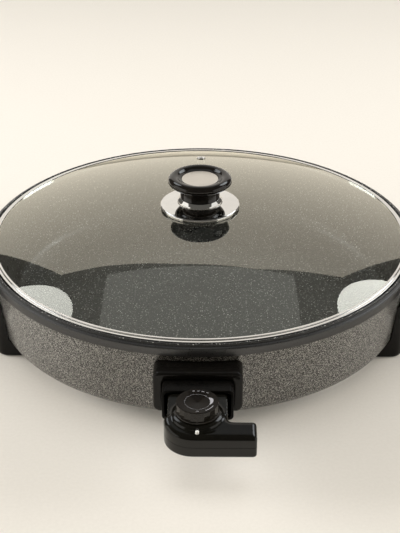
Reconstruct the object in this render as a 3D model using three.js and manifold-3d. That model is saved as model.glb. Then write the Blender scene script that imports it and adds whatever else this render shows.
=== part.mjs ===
// Round electric skillet with a lift-off glass lid and a plug-in temperature control.
// Millimetres, +Z up, the table at z = 0 and the front at -Y.
import * as THREE from "three";
import { mergeVertices } from "three/addons/utils/BufferGeometryUtils.js";
import Module from "manifold-3d";

const wasm = await Module();
wasm.setup();

// Gaps and joins
const fit = 0.3; // gap between two pieces that touch
const overrun = 10; // how far a cutting shape runs past what it cuts
const weld = 0.001; // corners closer than this are one corner

// Steps of round shapes
const ringSteps = 48;
const knobSteps = 32;
const rodSteps = 12;
const cornerSteps = 3;
const domeSteps = 7;

// Whole skillet
const rimRadius = 210;
const rimHeight = 88; // rim edge above the table
const baseClearance = 11.5; // table to the underside of the casing

// Inner pan
const panWall = 3;
const panCorner = 13;
const panTaper = 11.5;
const skirtDrop = 8; // smooth band below the rim edge
const skirtThickness = 2.9;
const rimBreak = 1; // bevel of the rim edge
const lipRise = 2;
const lipWidth = 2.2;
const lipWall = 1.3;
const lipBreak = 0.6;
const ledgeDrop = 3.5;
const ledgeRest = 1.1; // ledge under the flat of the lid's band
const ledgeBreak = 1;
const studRadius = 3;
const studDrop = 7; // stud below the casing
const bossRadius = 8;

// Outer casing
const casingThickness = 1;
const casingTaper = 6.5;
const casingCorner = 12;

// Heating element
const elementRadius = 4;
const elementInset = 57.5; // ring inside the foot of the pan's wall
const elementTailInset = 14.3; // ends of the tails inside the casing
const elementSides = 4;
const elementSteps = 60;
const elementTurns = 24; // guide points round the ring
const elementBend = 18;
const clipThickness = 1;
const clipWidth = 10;
const clipFoot = 12;
const clipCount = 3;

// Centre fixing
const washerRadius = 9;
const washerThickness = 1.5;
const nutRadius = 6;
const nutHeight = 4.5;
const nutSides = 6;

// Socket on the casing
const housingSide = 7.9; // frame of the housing beside the sleeve
const housingHead = 6.95; // frame above the sleeve
const housingSill = 2.35; // frame below the sleeve
const housingStand = 17.2; // front of the housing beyond the top of the casing
const housingCorner = 6;
const housingBevel = 1.3;
const housingDrop = 6.85; // lower edge of the pan's band to the housing
const sleeveWidth = 59.4;
const sleeveHeight = 29.2;
const sleeveStand = 15; // mouth of the sleeve beyond the housing
const sleeveCorner = 4;
const sleeveWall = 2.5;
const sleeveBack = 5.5; // back plate of the sleeve, from the casing
const holderWidth = 44;
const holderHeight = 22;
const holderCorner = 3;
const holderFront = 5.5; // holder beyond the back plate
const holderInset = 2.7; // back of the holder behind the face of the casing
const pinRadius = 2.5;
const pinSpread = 14;
const pinInset = 7; // ends of the pins inside the mouth of the sleeve
const earthRadius = 2;
const earthGap = 0.4; // earth contact to the wall of the neck
const probeRadius = 2.5;
const probeRise = 2.5;
const probeSleeveWall = 0.8;
const leadThickness = 1;
const leadWidth = 6;
const leadRise = 3; // lead strip above the pins' axis
const leadUpright = 10.2; // upper end of a lead strip above its elbow
const screwRadius = 1.5;
const screwHead = 3;
const screwHeadHeight = 2;
const socketScrewLength = 14;
const socketScrewInset = 1.3; // head clear of the curved casing

// Side handles with feet
const handleStand = 52; // grips beyond the rim
const handleHalfWidth = 88;
const handleCorner = 42;
const handleTop = 62;
const handleBottom = 38;
const handleBevel = 4;
const handleGap = 1.2; // between the legs and the casing
const gripDepth = 24;
const legWidth = 28;
const legInset = 16; // outer face of the legs inside the rim
const legCorner = 12;
const toeInset = 47; // ends of the toes inside the rim
const fingerCorner = 14;
const legClearance = 0.7; // table to the underside of the legs
const padRadius = 7.5;
const padThickness = 3;
const padPeg = 2.5;
const padPegLength = 5;
const padInset = 27; // middle of a pad inside the rim
const padEdge = 15; // middle of a pad from the end of the handle
const handleScrewInset = 40; // screws inside the rim
const handleScrewEdge = 8; // screws from the inner side of the leg
const handleScrewLength = 6; // screw above the casing's floor
const handleScrewRadius = 2;
const handleScrewHead = 4;
const handleScrewHeadHeight = 2.4;
const handleScrewSink = 3; // head above the bottom of the toe

// Lid
const bandGap = 3.2; // band to the rim's lip
const bandWall = 1.2;
const bandLip = 2.4; // band over the top of the glass
const bandWidth = 4.6; // band under the glass
const bandFlange = 0.9;
const bandBreak = 0.9;
const glassThickness = 4;
const glassRise = 28.3;
const glassBore = 4.5;
const ventInset = 50.5; // vent inside the edge of the glass
const ventBore = 1.7;
const ventTube = 1.2;
const ventFlange = 1.9;
const ventFlangeThickness = 0.8;

// Lid knob
const flangeRadius = 38.4;
const flangeRim = 2.4;
const flangeHub = 5.4;
const flangeWall = 1.2;
const flangeHubRadius = 14;
const flangeBreak = 1;
const collarRadius = 22.2;
const collarHeight = 4.3;
const collarBreak = 0.9;
const knobRadius = 30.7;
const knobHeight = 21.4;
const insertInset = 13.1; // insert inside the widest part of the knob
const insertThickness = 1;
const insertDrop = 3; // insert below the crest of the knob
const lidScrewRadius = 2;
const lidScrewHead = 5;
const lidScrewHeadHeight = 2.5;
const knobRoof = 3.1; // plastic between the screw and the insert
const lidWasherRadius = 15;
const lidWasherThickness = 2;

// Plug-in control, from the mouth of the socket sleeve
const mouthGap = 1;
const bodyShoulder = 2.7; // body beyond the neck on the left
const bodyApron = 2.6; // front of the body beyond the turret
const bodyDrop = 13.8;
const bodyRise = 6.4;
const seamDrop = 4.5;
const bodyBevel = 2.5;
const backCorner = 3.5;
const frontCorner = 24;
const armReach = 47.4;
const armDepth = 20.5;
const armCorner = 3;
const armFillet = 4;
const controlWall = 2;
const turretRise = 10.4;
const turretSlope = 5; // foot of the turret beyond its top
const turretLedge = 2.5; // top of the turret beyond the dial's ring
const neckGap = 0.4; // sleeve above and below the neck
const neckSideGap = 2.7;
const neckEndGap = 1.2; // neck to the pin holder
const neckCorner = 3.5;
const contactWall = 1;
const contactLength = 23;
const frameHalfWidth = 13;
const frameFront = 37;
const frameBack = 7;
const frameLegInset = 6.5; // legs in front of the frame's back
const frameSheet = 1.5;
const frameFlangeHalfWidth = 8;
const frameFlangeRise = 5;
const frameDrop = 3; // underside of the frame's top below the socket axis
const bladeHalfWidth = 3;
const bladeThickness = 0.8;
const bladeInset = 3;
const bossWall = 1.7;
const bossOutset = 7; // bosses beyond the sides of the frame
const bossReach = 13;
const controlScrewSink = 2.4;
const lensInset = 5.8; // middle of the lens from the front
const lensRadius = 1.7;
const lensHeight = 5;
const lensTop = 9.8;
const lampRadius = 1.5;
const lampHeight = 5;
const grommetRadius = 6;
const grommetFlange = 0.4;
const grommetFlangeLength = 4;
const grommetBore = 3.75;
const clampInset = 17.4; // clamp from the end of the arm
const clampLength = 5;
const clampHeight = 3;

// Dial
const dialGap = 5.1; // ring of the dial to the mouth of the sleeve
const dialRadius = 17.4;
const dialTaper = 0.1;
const dialHeight = 8.2;
const dialSides = 20;
const dialBreak = 0.9;
const dialSkirtProud = 0.5; // ring beyond the dial
const dialSkirtHeight = 1.7;
const shaftRadius = 3;
const shaftInKnob = 6;

// Values that follow from the ones above
const elementRoom = 2 * elementRadius + clipThickness + 4 * fit;
const casingFloor = baseClearance + casingThickness;
const panUnderside = casingFloor + elementRoom;
const cookingHeight = panUnderside + panWall;
const ledgeHeight = rimHeight - ledgeDrop;
const lipHeight = rimHeight + lipRise;
const skirtInner = rimRadius - skirtThickness;
const casingTopRadius = skirtInner - fit;
const casingLowerRadius = casingTopRadius - casingTaper;
const casingTop = ledgeHeight + fit;
const pocketInner = casingTopRadius - casingThickness - fit;
const lipInnerRadius = pocketInner - lipWall;
const lipOuterRadius = lipInnerRadius + lipWidth;
const ledgeWidth = bandGap + bandBreak + ledgeRest;
const ledgeInnerRadius = lipInnerRadius - ledgeWidth;
const panLowerRadius = ledgeInnerRadius - panTaper;
const elementHeight = panUnderside - fit - elementRadius;
const elementRing = panLowerRadius - elementInset;
const elementTail = casingLowerRadius - elementTailInset;
const housingTop = rimHeight - skirtDrop - housingDrop;
const housingWidth = sleeveWidth + 2 * housingSide;
const housingHeight = sleeveHeight + housingHead + housingSill;
const housingMiddle = housingTop - housingHeight / 2;
const housingReach = casingTopRadius + housingStand;
const socketHeight = housingTop - housingHead - sleeveHeight / 2;
const sleeveReach = housingReach + sleeveStand;
const pinReach = sleeveReach - pinInset;
const holderReach = casingRadiusAt(socketHeight) + sleeveBack + holderFront;
const socketScrewSpread = (sleeveWidth + housingSide) / 2;
const handleReach = rimRadius + handleStand;
const legReach = rimRadius - legInset;
const toeReach = rimRadius - toeInset;
const padReach = rimRadius - padInset;
const padSpread = handleHalfWidth - padEdge;
const handleScrewReach = rimRadius - handleScrewInset;
const handleScrewSpread = handleHalfWidth - legWidth + handleScrewEdge;
const bandRadius = lipInnerRadius - bandGap;
const lidSeat = ledgeHeight + fit;
const glassRadius = bandRadius - bandWall - fit;
const glassEdge = bandFlange + fit;
const crown = glassEdge + glassRise + glassThickness;
const domeRadius = (glassRadius ** 2 + glassRise ** 2) / (2 * glassRise);
const ventRadius = glassRadius - ventInset;
const insertRadius = knobRadius - insertInset;
const knobRecess = flangeHub + collarHeight + knobHeight - insertDrop - insertThickness;
const lidScrewReach = knobRecess - knobRoof;
const neckWidth = sleeveWidth - 2 * sleeveWall - 2 * neckSideGap;
const neckHeight = sleeveHeight - 2 * sleeveWall - 2 * neckGap;
const neckLength = sleeveReach - holderReach - neckEndGap;
const earthContact = earthRadius + fit + contactWall;
const earthDrop = neckHeight / 2 - controlWall - earthContact - earthGap;
const earthHeight = socketHeight - earthDrop;
const probeHeight = socketHeight + probeRise;
const dialSkirtRadius = dialRadius + dialSkirtProud;
const dialReach = dialSkirtRadius + dialGap;
const turretTop = dialSkirtRadius + turretLedge;
const turretFoot = turretTop + turretSlope;
const bodyLeft = neckWidth / 2 + bodyShoulder;
const bodyDepth = dialReach + turretFoot + bodyApron;
const bossSpread = frameHalfWidth + bossOutset;
const lensReach = bodyDepth - lensInset;
const clampReach = armReach - clampInset;
const controlReach = sleeveReach + bodyDepth;

// How the finish of each kind of piece looks
const finishes = {
  nonStick: { color: 0x1d1e20, roughness: 0.42, metalness: 0.3 },
  hammertone: { color: 0x5d5a54, roughness: 0.38, metalness: 0.6 },
  sheath: { color: 0x4d4a45, roughness: 0.5, metalness: 0.8 },
  zinc: { color: 0xb3b3ad, roughness: 0.35, metalness: 1 },
  brass: { color: 0xb89a58, roughness: 0.35, metalness: 1 },
  bakelite: { color: 0x16130f, roughness: 0.28, metalness: 0 },
  steatite: { color: 0xd9d2c2, roughness: 0.6, metalness: 0 },
  rubber: { color: 0x161616, roughness: 0.85, metalness: 0 },
  glass: { color: 0xdfe6e2, roughness: 0.04, metalness: 0, transparent: true, opacity: 0.3 },
  chrome: { color: 0xd8d8d6, roughness: 0.08, metalness: 1 },
  brushed: { color: 0xc9c2b8, roughness: 0.4, metalness: 1 },
  dial: { color: 0x241f1b, roughness: 0.18, metalness: 0 },
  lens: { color: 0xe9e9e4, roughness: 0.3, metalness: 0 },
};

// A closed solid from a three.js geometry, whichever way its profile was drawn.
function solid(geometry) {
  const bare = geometry.index ? geometry.toNonIndexed() : geometry;
  const points = new THREE.BufferGeometry();
  points.setAttribute("position", bare.getAttribute("position"));
  const merged = mergeVertices(points, weld);
  const corners = Array.from(merged.index.array);
  const faces = [];
  for (let i = 0; i < corners.length; i += 3) {
    const [a, b, c] = corners.slice(i, i + 3);
    if (a !== b && b !== c && c !== a) faces.push(a, b, c);
  }
  const made = (triangles) =>
    new wasm.Manifold(
      new wasm.Mesh({
        numProp: 3,
        vertProperties: merged.attributes.position.array,
        triVerts: new Uint32Array(triangles),
      }),
    );
  const first = made(faces);
  return first.volume() > 0 ? first : made(faces.reverse());
}

// A mesh with a name and a finish, added to a group.
function addPiece(group, name, finish, body) {
  const shape = body.getMesh();
  const geometry = new THREE.BufferGeometry();
  geometry.setAttribute("position", new THREE.BufferAttribute(shape.vertProperties, 3));
  geometry.setIndex(new THREE.BufferAttribute(shape.triVerts, 1));
  geometry.computeVertexNormals();
  const mesh = new THREE.Mesh(geometry, new THREE.MeshStandardMaterial(finishes[finish]));
  mesh.name = name;
  group.add(mesh);
}

// A profile of [radius, height] points turned about Z.
function turned(profile, steps = ringSteps) {
  const points = profile.map(([radius, height]) => new THREE.Vector2(radius, height));
  const closes = profile[0][0] > 0;
  if (closes) points.push(points[0].clone());
  return solid(new THREE.LatheGeometry(points, steps).rotateX(Math.PI / 2));
}

// Points of a round corner in a profile, from one angle to another in degrees.
function roundCorner(centre, radius, from, to, steps = cornerSteps) {
  return Array.from({ length: steps + 1 }, (_, i) => {
    const angle = THREE.MathUtils.degToRad(from + ((to - from) * i) / steps);
    return [centre[0] + radius * Math.cos(angle), centre[1] + radius * Math.sin(angle)];
  });
}

// A block between two corners.
function block(low, high) {
  const size = high.map((value, i) => value - low[i]);
  const middle = high.map((value, i) => (value + low[i]) / 2);
  return solid(new THREE.BoxGeometry(...size).translate(...middle));
}

// A round rod from one point to another.
function rod(radius, from, to, steps = rodSteps) {
  const start = new THREE.Vector3(...from);
  const along = new THREE.Vector3(...to).sub(start);
  const geometry = new THREE.CylinderGeometry(radius, radius, along.length(), steps);
  const turn = new THREE.Quaternion().setFromUnitVectors(
    new THREE.Vector3(0, 1, 0),
    along.clone().normalize(),
  );
  return solid(geometry.applyQuaternion(turn).translate(...start.addScaledVector(along, 0.5)));
}

// An outline extruded upwards, with an optional bevel on both rims.
function upright(shape, low, high, bevel = 0) {
  const settings = {
    depth: high - low - 2 * bevel,
    curveSegments: cornerSteps,
    bevelEnabled: bevel > 0,
    bevelThickness: bevel,
    bevelSize: bevel,
    bevelOffset: -bevel,
    bevelSegments: 1,
  };
  return solid(new THREE.ExtrudeGeometry(shape, settings).translate(0, 0, low + bevel));
}

// An outline in X and Z extruded along Y, from its back to its front.
function frontwards(shape, back, front, bevel = 0) {
  const settings = {
    depth: back - front - 2 * bevel,
    curveSegments: cornerSteps,
    bevelEnabled: bevel > 0,
    bevelThickness: bevel,
    bevelSize: bevel,
    bevelOffset: -bevel,
    bevelSegments: 1,
  };
  const geometry = new THREE.ExtrudeGeometry(shape, settings).rotateX(Math.PI / 2);
  return solid(geometry.translate(0, back - bevel, 0));
}

// A rectangle with round corners about the origin, moved up by a height.
function roundedRectangle(width, height, corner, rise = 0) {
  const [x, y] = [width / 2, height / 2];
  const shape = new THREE.Shape();
  shape.absarc(x - corner, rise + y - corner, corner, 0, Math.PI / 2);
  shape.absarc(corner - x, rise + y - corner, corner, Math.PI / 2, Math.PI);
  shape.absarc(corner - x, rise + corner - y, corner, Math.PI, (3 * Math.PI) / 2);
  shape.absarc(x - corner, rise + corner - y, corner, (3 * Math.PI) / 2, 2 * Math.PI);
  return shape;
}

// The outer radius of the casing at a height.
function casingRadiusAt(height) {
  const low = baseClearance + casingCorner;
  const share = (height - low) / (casingTop - low);
  return casingLowerRadius + casingTaper * share;
}

// The outer radius of the inner pan's wall at a height.
function panRadiusAt(height) {
  const low = cookingHeight + panCorner;
  const share = (height - low) / (ledgeHeight - panWall - low);
  return panLowerRadius + panWall + panTaper * share;
}

// The space taken by the casing, grown by a gap, for cutting what sits against it.
function casingSpace(gap, floorGap = gap) {
  const centre = [casingLowerRadius - casingCorner, baseClearance + casingCorner];
  return turned([
    [0, baseClearance - floorGap],
    [centre[0], baseClearance - floorGap],
    ...roundCorner(centre, casingCorner + gap, -90, 0).slice(1),
    [casingTopRadius + gap, casingTop],
    [casingTopRadius + gap, rimHeight + overrun],
    [0, rimHeight + overrun],
  ]);
}

// Inner pan: cooking surface, wall, lid ledge, lip and the band that covers the casing's edge.
function pan() {
  const cornerCentre = [panLowerRadius - panCorner, cookingHeight + panCorner];
  return turned([
    [0, cookingHeight],
    ...roundCorner(cornerCentre, panCorner, -90, 0),
    [ledgeInnerRadius - ledgeBreak, ledgeHeight - ledgeBreak],
    [ledgeInnerRadius, ledgeHeight],
    [lipInnerRadius, ledgeHeight],
    [lipInnerRadius, lipHeight - lipBreak],
    [lipInnerRadius + lipBreak, lipHeight],
    [lipOuterRadius - lipBreak, lipHeight],
    [lipOuterRadius, lipHeight - lipBreak],
    [lipOuterRadius, rimHeight],
    [rimRadius - rimBreak, rimHeight],
    [rimRadius, rimHeight - rimBreak],
    [rimRadius, rimHeight - skirtDrop],
    [skirtInner, rimHeight - skirtDrop],
    [skirtInner, casingTop + fit],
    [pocketInner, casingTop + fit],
    [casingRadiusAt(ledgeHeight - panWall) - casingThickness - fit, ledgeHeight - panWall],
    [ledgeInnerRadius + panWall, ledgeHeight - panWall],
    ...roundCorner(cornerCentre, panCorner + panWall, 0, -90),
    [bossRadius, panUnderside],
    [bossRadius, casingFloor + fit],
    [studRadius, casingFloor + fit],
    [studRadius, baseClearance - studDrop],
    [0, baseClearance - studDrop],
  ]);
}

// Pressed casing with a round lower corner and holes for the stud, the socket and the screws.
function outerCasing() {
  const centre = [casingLowerRadius - casingCorner, baseClearance + casingCorner];
  const bore = studRadius + fit;
  let body = turned([
    [bore, baseClearance],
    ...roundCorner(centre, casingCorner, -90, 0),
    [casingTopRadius, casingTop],
    [casingTopRadius - casingThickness, casingTop],
    ...roundCorner(centre, casingCorner - casingThickness, 0, -90),
    [bore, casingFloor],
  ]);
  const hole = roundedRectangle(
    holderWidth + 2 * fit,
    holderHeight + 2 * fit,
    holderCorner,
    socketHeight,
  );
  body = body.subtract(frontwards(hole, -panLowerRadius, -housingReach));
  for (const side of [-1, 1]) {
    const x = side * socketScrewSpread;
    const ends = [-panLowerRadius, -housingReach].map((y) => [x, y, socketHeight]);
    body = body.subtract(rod(screwRadius + fit, ...ends));
  }
  for (const [x, y] of handleScrewPlaces()) {
    const radius = handleScrewRadius + fit;
    body = body.subtract(rod(radius, [x, y, 0], [x, y, casingFloor + handleScrewLength]));
  }
  return body;
}

// Places of the four screws that hold the handles, left to right and front to back.
function handleScrewPlaces() {
  return [-1, 1].flatMap((side) =>
    [-1, 1].map((end) => [side * handleScrewReach, end * handleScrewSpread]),
  );
}

// Sheathed element: a ring under the pan whose two tails run forward to the socket.
function heatingElement() {
  const points = [[-pinSpread, -elementTail]];
  points.push([-pinSpread, -(elementTail + elementRing) / 2]);
  const gap = Math.asin((pinSpread + elementBend) / elementRing);
  for (let i = 0; i <= elementTurns; i += 1) {
    const angle = gap + ((2 * Math.PI - 2 * gap) * i) / elementTurns;
    points.push([-elementRing * Math.sin(angle), -elementRing * Math.cos(angle)]);
  }
  points.push([pinSpread, -(elementTail + elementRing) / 2]);
  points.push([pinSpread, -elementTail]);
  const path = new THREE.CatmullRomCurve3(
    points.map(([x, y]) => new THREE.Vector3(x, y, elementHeight)),
  );
  const section = new THREE.Shape().absarc(0, 0, elementRadius, 0, 2 * Math.PI);
  return solid(
    new THREE.ExtrudeGeometry(section, {
      steps: elementSteps,
      extrudePath: path,
      curveSegments: elementSides,
    }),
  );
}

// Strap that holds the element up against the pan.
function elementClip(angle) {
  const top = panUnderside - fit;
  const inner = elementRadius + 2 * fit;
  const outer = inner + clipThickness;
  const shape = new THREE.Shape();
  shape.moveTo(-outer - clipFoot, top);
  shape.lineTo(-inner, top);
  shape.lineTo(-inner, elementHeight);
  shape.absarc(0, elementHeight, inner, Math.PI, 2 * Math.PI);
  shape.lineTo(inner, top);
  shape.lineTo(outer + clipFoot, top);
  shape.lineTo(outer + clipFoot, top - clipThickness);
  shape.lineTo(outer, top - clipThickness);
  shape.lineTo(outer, elementHeight);
  shape.absarc(0, elementHeight, outer, 2 * Math.PI, Math.PI, true);
  shape.lineTo(-outer, top - clipThickness);
  shape.lineTo(-outer - clipFoot, top - clipThickness);
  const geometry = new THREE.ExtrudeGeometry(shape, {
    depth: clipWidth,
    bevelEnabled: false,
    curveSegments: cornerSteps,
  });
  geometry.rotateX(Math.PI / 2).translate(elementRing, clipWidth / 2, 0);
  return solid(geometry.rotateZ(angle));
}

// Middle of the cavity between the inner pan and the casing at a height.
function cavityRadiusAt(height) {
  return (panRadiusAt(height) + casingRadiusAt(height) - casingThickness) / 2;
}

// Where the pins start, just outside the lead strips.
function pinStart() {
  return cavityRadiusAt(socketHeight + leadRise) + fit;
}

// Strip from a tail of the element up the cavity to the back of a pin.
function leadStrip(side) {
  const low = elementHeight;
  const high = socketHeight + leadRise;
  const elbow = high - leadUpright;
  const outside = [
    [-elementTail - fit, low],
    [panCorner / 2 - cavityRadiusAt(elbow), low],
    [-cavityRadiusAt(elbow), elbow],
    [-cavityRadiusAt(high), high - leadWidth],
    [-cavityRadiusAt(high), high],
  ];
  const level = 2; // the first points run level, the others up the cavity
  const inside = outside.map(([y, z], i) =>
    i < level ? [y, z + leadThickness] : [y + leadThickness, z],
  );
  const outline = [...outside, ...inside.reverse()].map(([y, z]) => new THREE.Vector2(y, z));
  const shape = new THREE.Shape(outline);
  const geometry = new THREE.ExtrudeGeometry(shape, { depth: leadWidth, bevelEnabled: false });
  const axes = new THREE.Matrix4().makeBasis(
    new THREE.Vector3(0, 1, 0),
    new THREE.Vector3(0, 0, 1),
    new THREE.Vector3(1, 0, 0),
  );
  return solid(geometry.applyMatrix4(axes).translate(side * pinSpread - leadWidth / 2, 0, 0));
}

function centreWasher() {
  const top = baseClearance - fit;
  return turned(
    [
      [studRadius + fit, top - washerThickness],
      [washerRadius, top - washerThickness],
      [washerRadius, top],
      [studRadius + fit, top],
    ],
    rodSteps,
  );
}

function centreNut() {
  const top = baseClearance - washerThickness - 2 * fit;
  const body = rod(nutRadius, [0, 0, top - nutHeight], [0, 0, top], nutSides);
  return body.subtract(rod(studRadius + fit, [0, 0, 0], [0, 0, baseClearance]));
}

// Bakelite frame round the socket, shaped to the casing.
function socketHousing() {
  const outline = roundedRectangle(housingWidth, housingHeight, housingCorner, housingMiddle);
  const pocket = roundedRectangle(
    sleeveWidth + 2 * fit,
    sleeveHeight + 2 * fit,
    sleeveCorner,
    socketHeight,
  );
  let body = frontwards(outline, -panLowerRadius, -housingReach, housingBevel);
  body = body.subtract(frontwards(pocket, overrun - panLowerRadius, -housingReach - overrun));
  body = body.subtract(casingSpace(fit));
  for (const side of [-1, 1]) {
    const x = side * socketScrewSpread;
    const end = socketScrewStart() + socketScrewLength + fit;
    const ends = [-panLowerRadius, -end].map((y) => [x, y, socketHeight]);
    body = body.subtract(rod(screwRadius + fit, ...ends));
  }
  return body;
}

// Sleeve that the control plugs into, with a back plate round the pin holder.
function socketSleeve() {
  const plate = casingRadiusAt(socketHeight) + sleeveBack;
  const outline = roundedRectangle(sleeveWidth, sleeveHeight, sleeveCorner, socketHeight);
  const inside = roundedRectangle(
    sleeveWidth - 2 * sleeveWall,
    sleeveHeight - 2 * sleeveWall,
    sleeveCorner - sleeveWall / 2,
    socketHeight,
  );
  const hole = roundedRectangle(
    holderWidth + 2 * fit,
    holderHeight + 2 * fit,
    holderCorner,
    socketHeight,
  );
  let body = frontwards(outline, -panLowerRadius, -sleeveReach);
  body = body.subtract(frontwards(inside, -plate, -sleeveReach - overrun));
  body = body.subtract(frontwards(hole, overrun - panLowerRadius, -plate - overrun));
  return body.subtract(casingSpace(fit));
}

// Ceramic block that carries the pins and the probe's sleeve through the casing.
function pinHolder() {
  const back = casingRadiusAt(socketHeight) - holderInset + fit;
  const outline = roundedRectangle(holderWidth, holderHeight, holderCorner, socketHeight);
  let body = frontwards(outline, -back, -holderReach);
  const holes = [
    [-pinSpread, socketHeight, pinRadius + fit],
    [pinSpread, socketHeight, pinRadius + fit],
    [0, earthHeight, earthRadius + fit],
    [0, probeHeight, probeRadius + probeSleeveWall + 2 * fit],
  ];
  for (const [x, z, radius] of holes) {
    const ends = [-panLowerRadius, -holderReach - overrun].map((y) => [x, y, z]);
    body = body.subtract(rod(radius, ...ends));
  }
  return body;
}

function elementPin(side) {
  const x = side * pinSpread;
  return rod(pinRadius, [x, -pinStart(), socketHeight], [x, -pinReach, socketHeight]);
}

function earthPin() {
  return rod(earthRadius, [0, -pinStart(), earthHeight], [0, -pinReach, earthHeight]);
}

// Thin tube that guides the probe through the pin holder.
function probeSleeve() {
  const back = casingRadiusAt(socketHeight) - holderInset;
  const bore = probeRadius + fit;
  const ends = (extra) => [
    [0, extra - back, probeHeight],
    [0, -holderReach - extra, probeHeight],
  ];
  return rod(bore + probeSleeveWall, ...ends(0)).subtract(rod(bore, ...ends(overrun)));
}

// How far out the head of a socket screw ends, inside the curved casing.
function socketScrewStart() {
  const inside = casingRadiusAt(socketHeight) - casingThickness;
  return Math.sqrt(inside ** 2 - socketScrewSpread ** 2) - socketScrewInset;
}

function socketScrew(side) {
  const x = side * socketScrewSpread;
  const start = socketScrewStart();
  const head = rod(
    screwHead,
    [x, -start + screwHeadHeight, socketHeight],
    [x, -start, socketHeight],
  );
  const shank = rod(
    screwRadius,
    [x, -start + screwHeadHeight / 2, socketHeight],
    [x, -start - socketScrewLength, socketHeight],
  );
  return head.add(shank);
}

// Plan outline of the right-hand handle.
function handleOutline() {
  const shape = new THREE.Shape();
  const [x, y] = [handleReach - handleCorner, handleHalfWidth - handleCorner];
  shape.moveTo(toeReach, -handleHalfWidth);
  shape.lineTo(x, -handleHalfWidth);
  shape.absarc(x, -y, handleCorner, -Math.PI / 2, 0);
  shape.absarc(x, y, handleCorner, 0, Math.PI / 2);
  shape.lineTo(toeReach, handleHalfWidth);
  return shape;
}

// The part of the outline that reaches down to the table, in plan.
function legOutline() {
  const shape = new THREE.Shape();
  const [x, y] = [legReach - legCorner, handleHalfWidth - legCorner];
  shape.moveTo(toeReach, -handleHalfWidth);
  shape.lineTo(x, -handleHalfWidth);
  shape.absarc(x, -y, legCorner, -Math.PI / 2, 0);
  shape.absarc(x, y, legCorner, 0, Math.PI / 2);
  shape.lineTo(toeReach, handleHalfWidth);
  return shape;
}

// Right-hand handle: a grip bar between two legs whose toes run in under the casing.
function rightHandle() {
  const half = handleHalfWidth - legWidth;
  const fingerReach = handleReach - gripDepth;
  const grip = upright(handleOutline(), handleBottom, handleTop, handleBevel);
  const legs = upright(legOutline(), legClearance, handleTop - handleBevel, legClearance);
  const arch = block([0, -half, 0], [handleReach, half, handleBottom + handleBevel]);
  let body = legs.subtract(arch).add(grip);
  const hole = new THREE.Shape();
  hole.moveTo(0, -half);
  hole.lineTo(fingerReach - fingerCorner, -half);
  hole.absarc(fingerReach - fingerCorner, fingerCorner - half, fingerCorner, -Math.PI / 2, 0);
  hole.absarc(fingerReach - fingerCorner, half - fingerCorner, fingerCorner, 0, Math.PI / 2);
  hole.lineTo(0, half);
  body = body.subtract(upright(hole, 0, rimHeight));
  body = body.subtract(casingSpace(handleGap, fit));
  for (const end of [-1, 1]) {
    const screw = [handleScrewReach, end * handleScrewSpread];
    const sink = legClearance + handleScrewSink + handleScrewHeadHeight + fit;
    body = body.subtract(rod(handleScrewRadius + fit, [...screw, 0], [...screw, baseClearance]));
    body = body.subtract(rod(handleScrewHead + fit, [...screw, 0], [...screw, sink]));
    const pad = [padReach, end * padSpread];
    const depth = padThickness + padPegLength + fit;
    body = body.subtract(rod(padRadius + fit, [...pad, 0], [...pad, padThickness]));
    body = body.subtract(rod(padPeg + fit, [...pad, 0], [...pad, depth]));
  }
  return body;
}

function handleScrew([x, y]) {
  const low = legClearance + handleScrewSink;
  const neck = low + handleScrewHeadHeight / 2;
  const head = rod(handleScrewHead, [x, y, low], [x, y, low + handleScrewHeadHeight]);
  return head.add(rod(handleScrewRadius, [x, y, neck], [x, y, casingFloor + handleScrewLength]));
}

// Rubber foot with a peg that is pushed up into the leg.
function footPad(x, y) {
  const disc = rod(padRadius, [x, y, 0], [x, y, padThickness - fit]);
  return disc.add(rod(padPeg, [x, y, padThickness / 2], [x, y, padThickness + padPegLength]));
}

// How far the dome has dropped from its crown at a radius.
function domeDrop(radius) {
  return domeRadius - Math.sqrt(domeRadius ** 2 - radius ** 2);
}

// Points along the dome from one radius to another, at a height of its crown.
function domePoints(from, to, height) {
  return Array.from({ length: domeSteps + 1 }, (_, i) => {
    const radius = from + ((to - from) * i) / domeSteps;
    return [radius, height - domeDrop(radius)];
  });
}

// A point on the glass at the steam vent, a distance out of its top surface.
function ventPoint(distance) {
  const tilt = Math.asin(ventRadius / domeRadius);
  const top = crown - domeDrop(ventRadius);
  return [0, ventRadius + distance * Math.sin(tilt), top + distance * Math.cos(tilt)];
}

function lidGlass() {
  const body = turned([
    ...domePoints(glassBore, glassRadius, crown - glassThickness),
    ...domePoints(glassRadius, glassBore, crown),
  ]);
  return body.subtract(rod(ventBore + ventTube + fit, ventPoint(-overrun), ventPoint(overrun)));
}

// Chrome channel round the edge of the glass.
function lidBand() {
  const inner = bandRadius - bandWidth;
  const lip = bandRadius - bandLip;
  const reach = bandRadius - bandWall;
  const under = (radius) => crown - glassThickness - domeDrop(radius) - fit;
  const over = (radius) => crown - domeDrop(radius) + fit;
  return turned([
    [inner, 0],
    [bandRadius - bandBreak, 0],
    [bandRadius, bandBreak],
    [bandRadius, over(reach)],
    [bandRadius - bandBreak, over(reach) + bandFlange],
    [lip, over(lip) + bandFlange],
    [lip, over(lip)],
    [reach, over(reach)],
    [reach, under(reach)],
    [inner, under(inner)],
  ]);
}

// Eyelet in the steam vent, square to the glass.
function ventGrommet() {
  const bore = ventBore;
  const tube = ventBore + ventTube;
  const flange = tube + ventFlange;
  const low = -glassThickness - fit;
  const body = turned(
    [
      [bore, low - ventFlangeThickness],
      [flange, low - ventFlangeThickness],
      [flange, low],
      [tube, low],
      [tube, fit],
      [flange, fit],
      [flange - ventFlangeThickness / 2, fit + ventFlangeThickness],
      [bore, fit + ventFlangeThickness],
    ],
    rodSteps,
  );
  const tilt = THREE.MathUtils.radToDeg(Math.asin(ventRadius / domeRadius));
  return body.rotate([-tilt, 0, 0]).translate(ventPoint(0));
}

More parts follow.
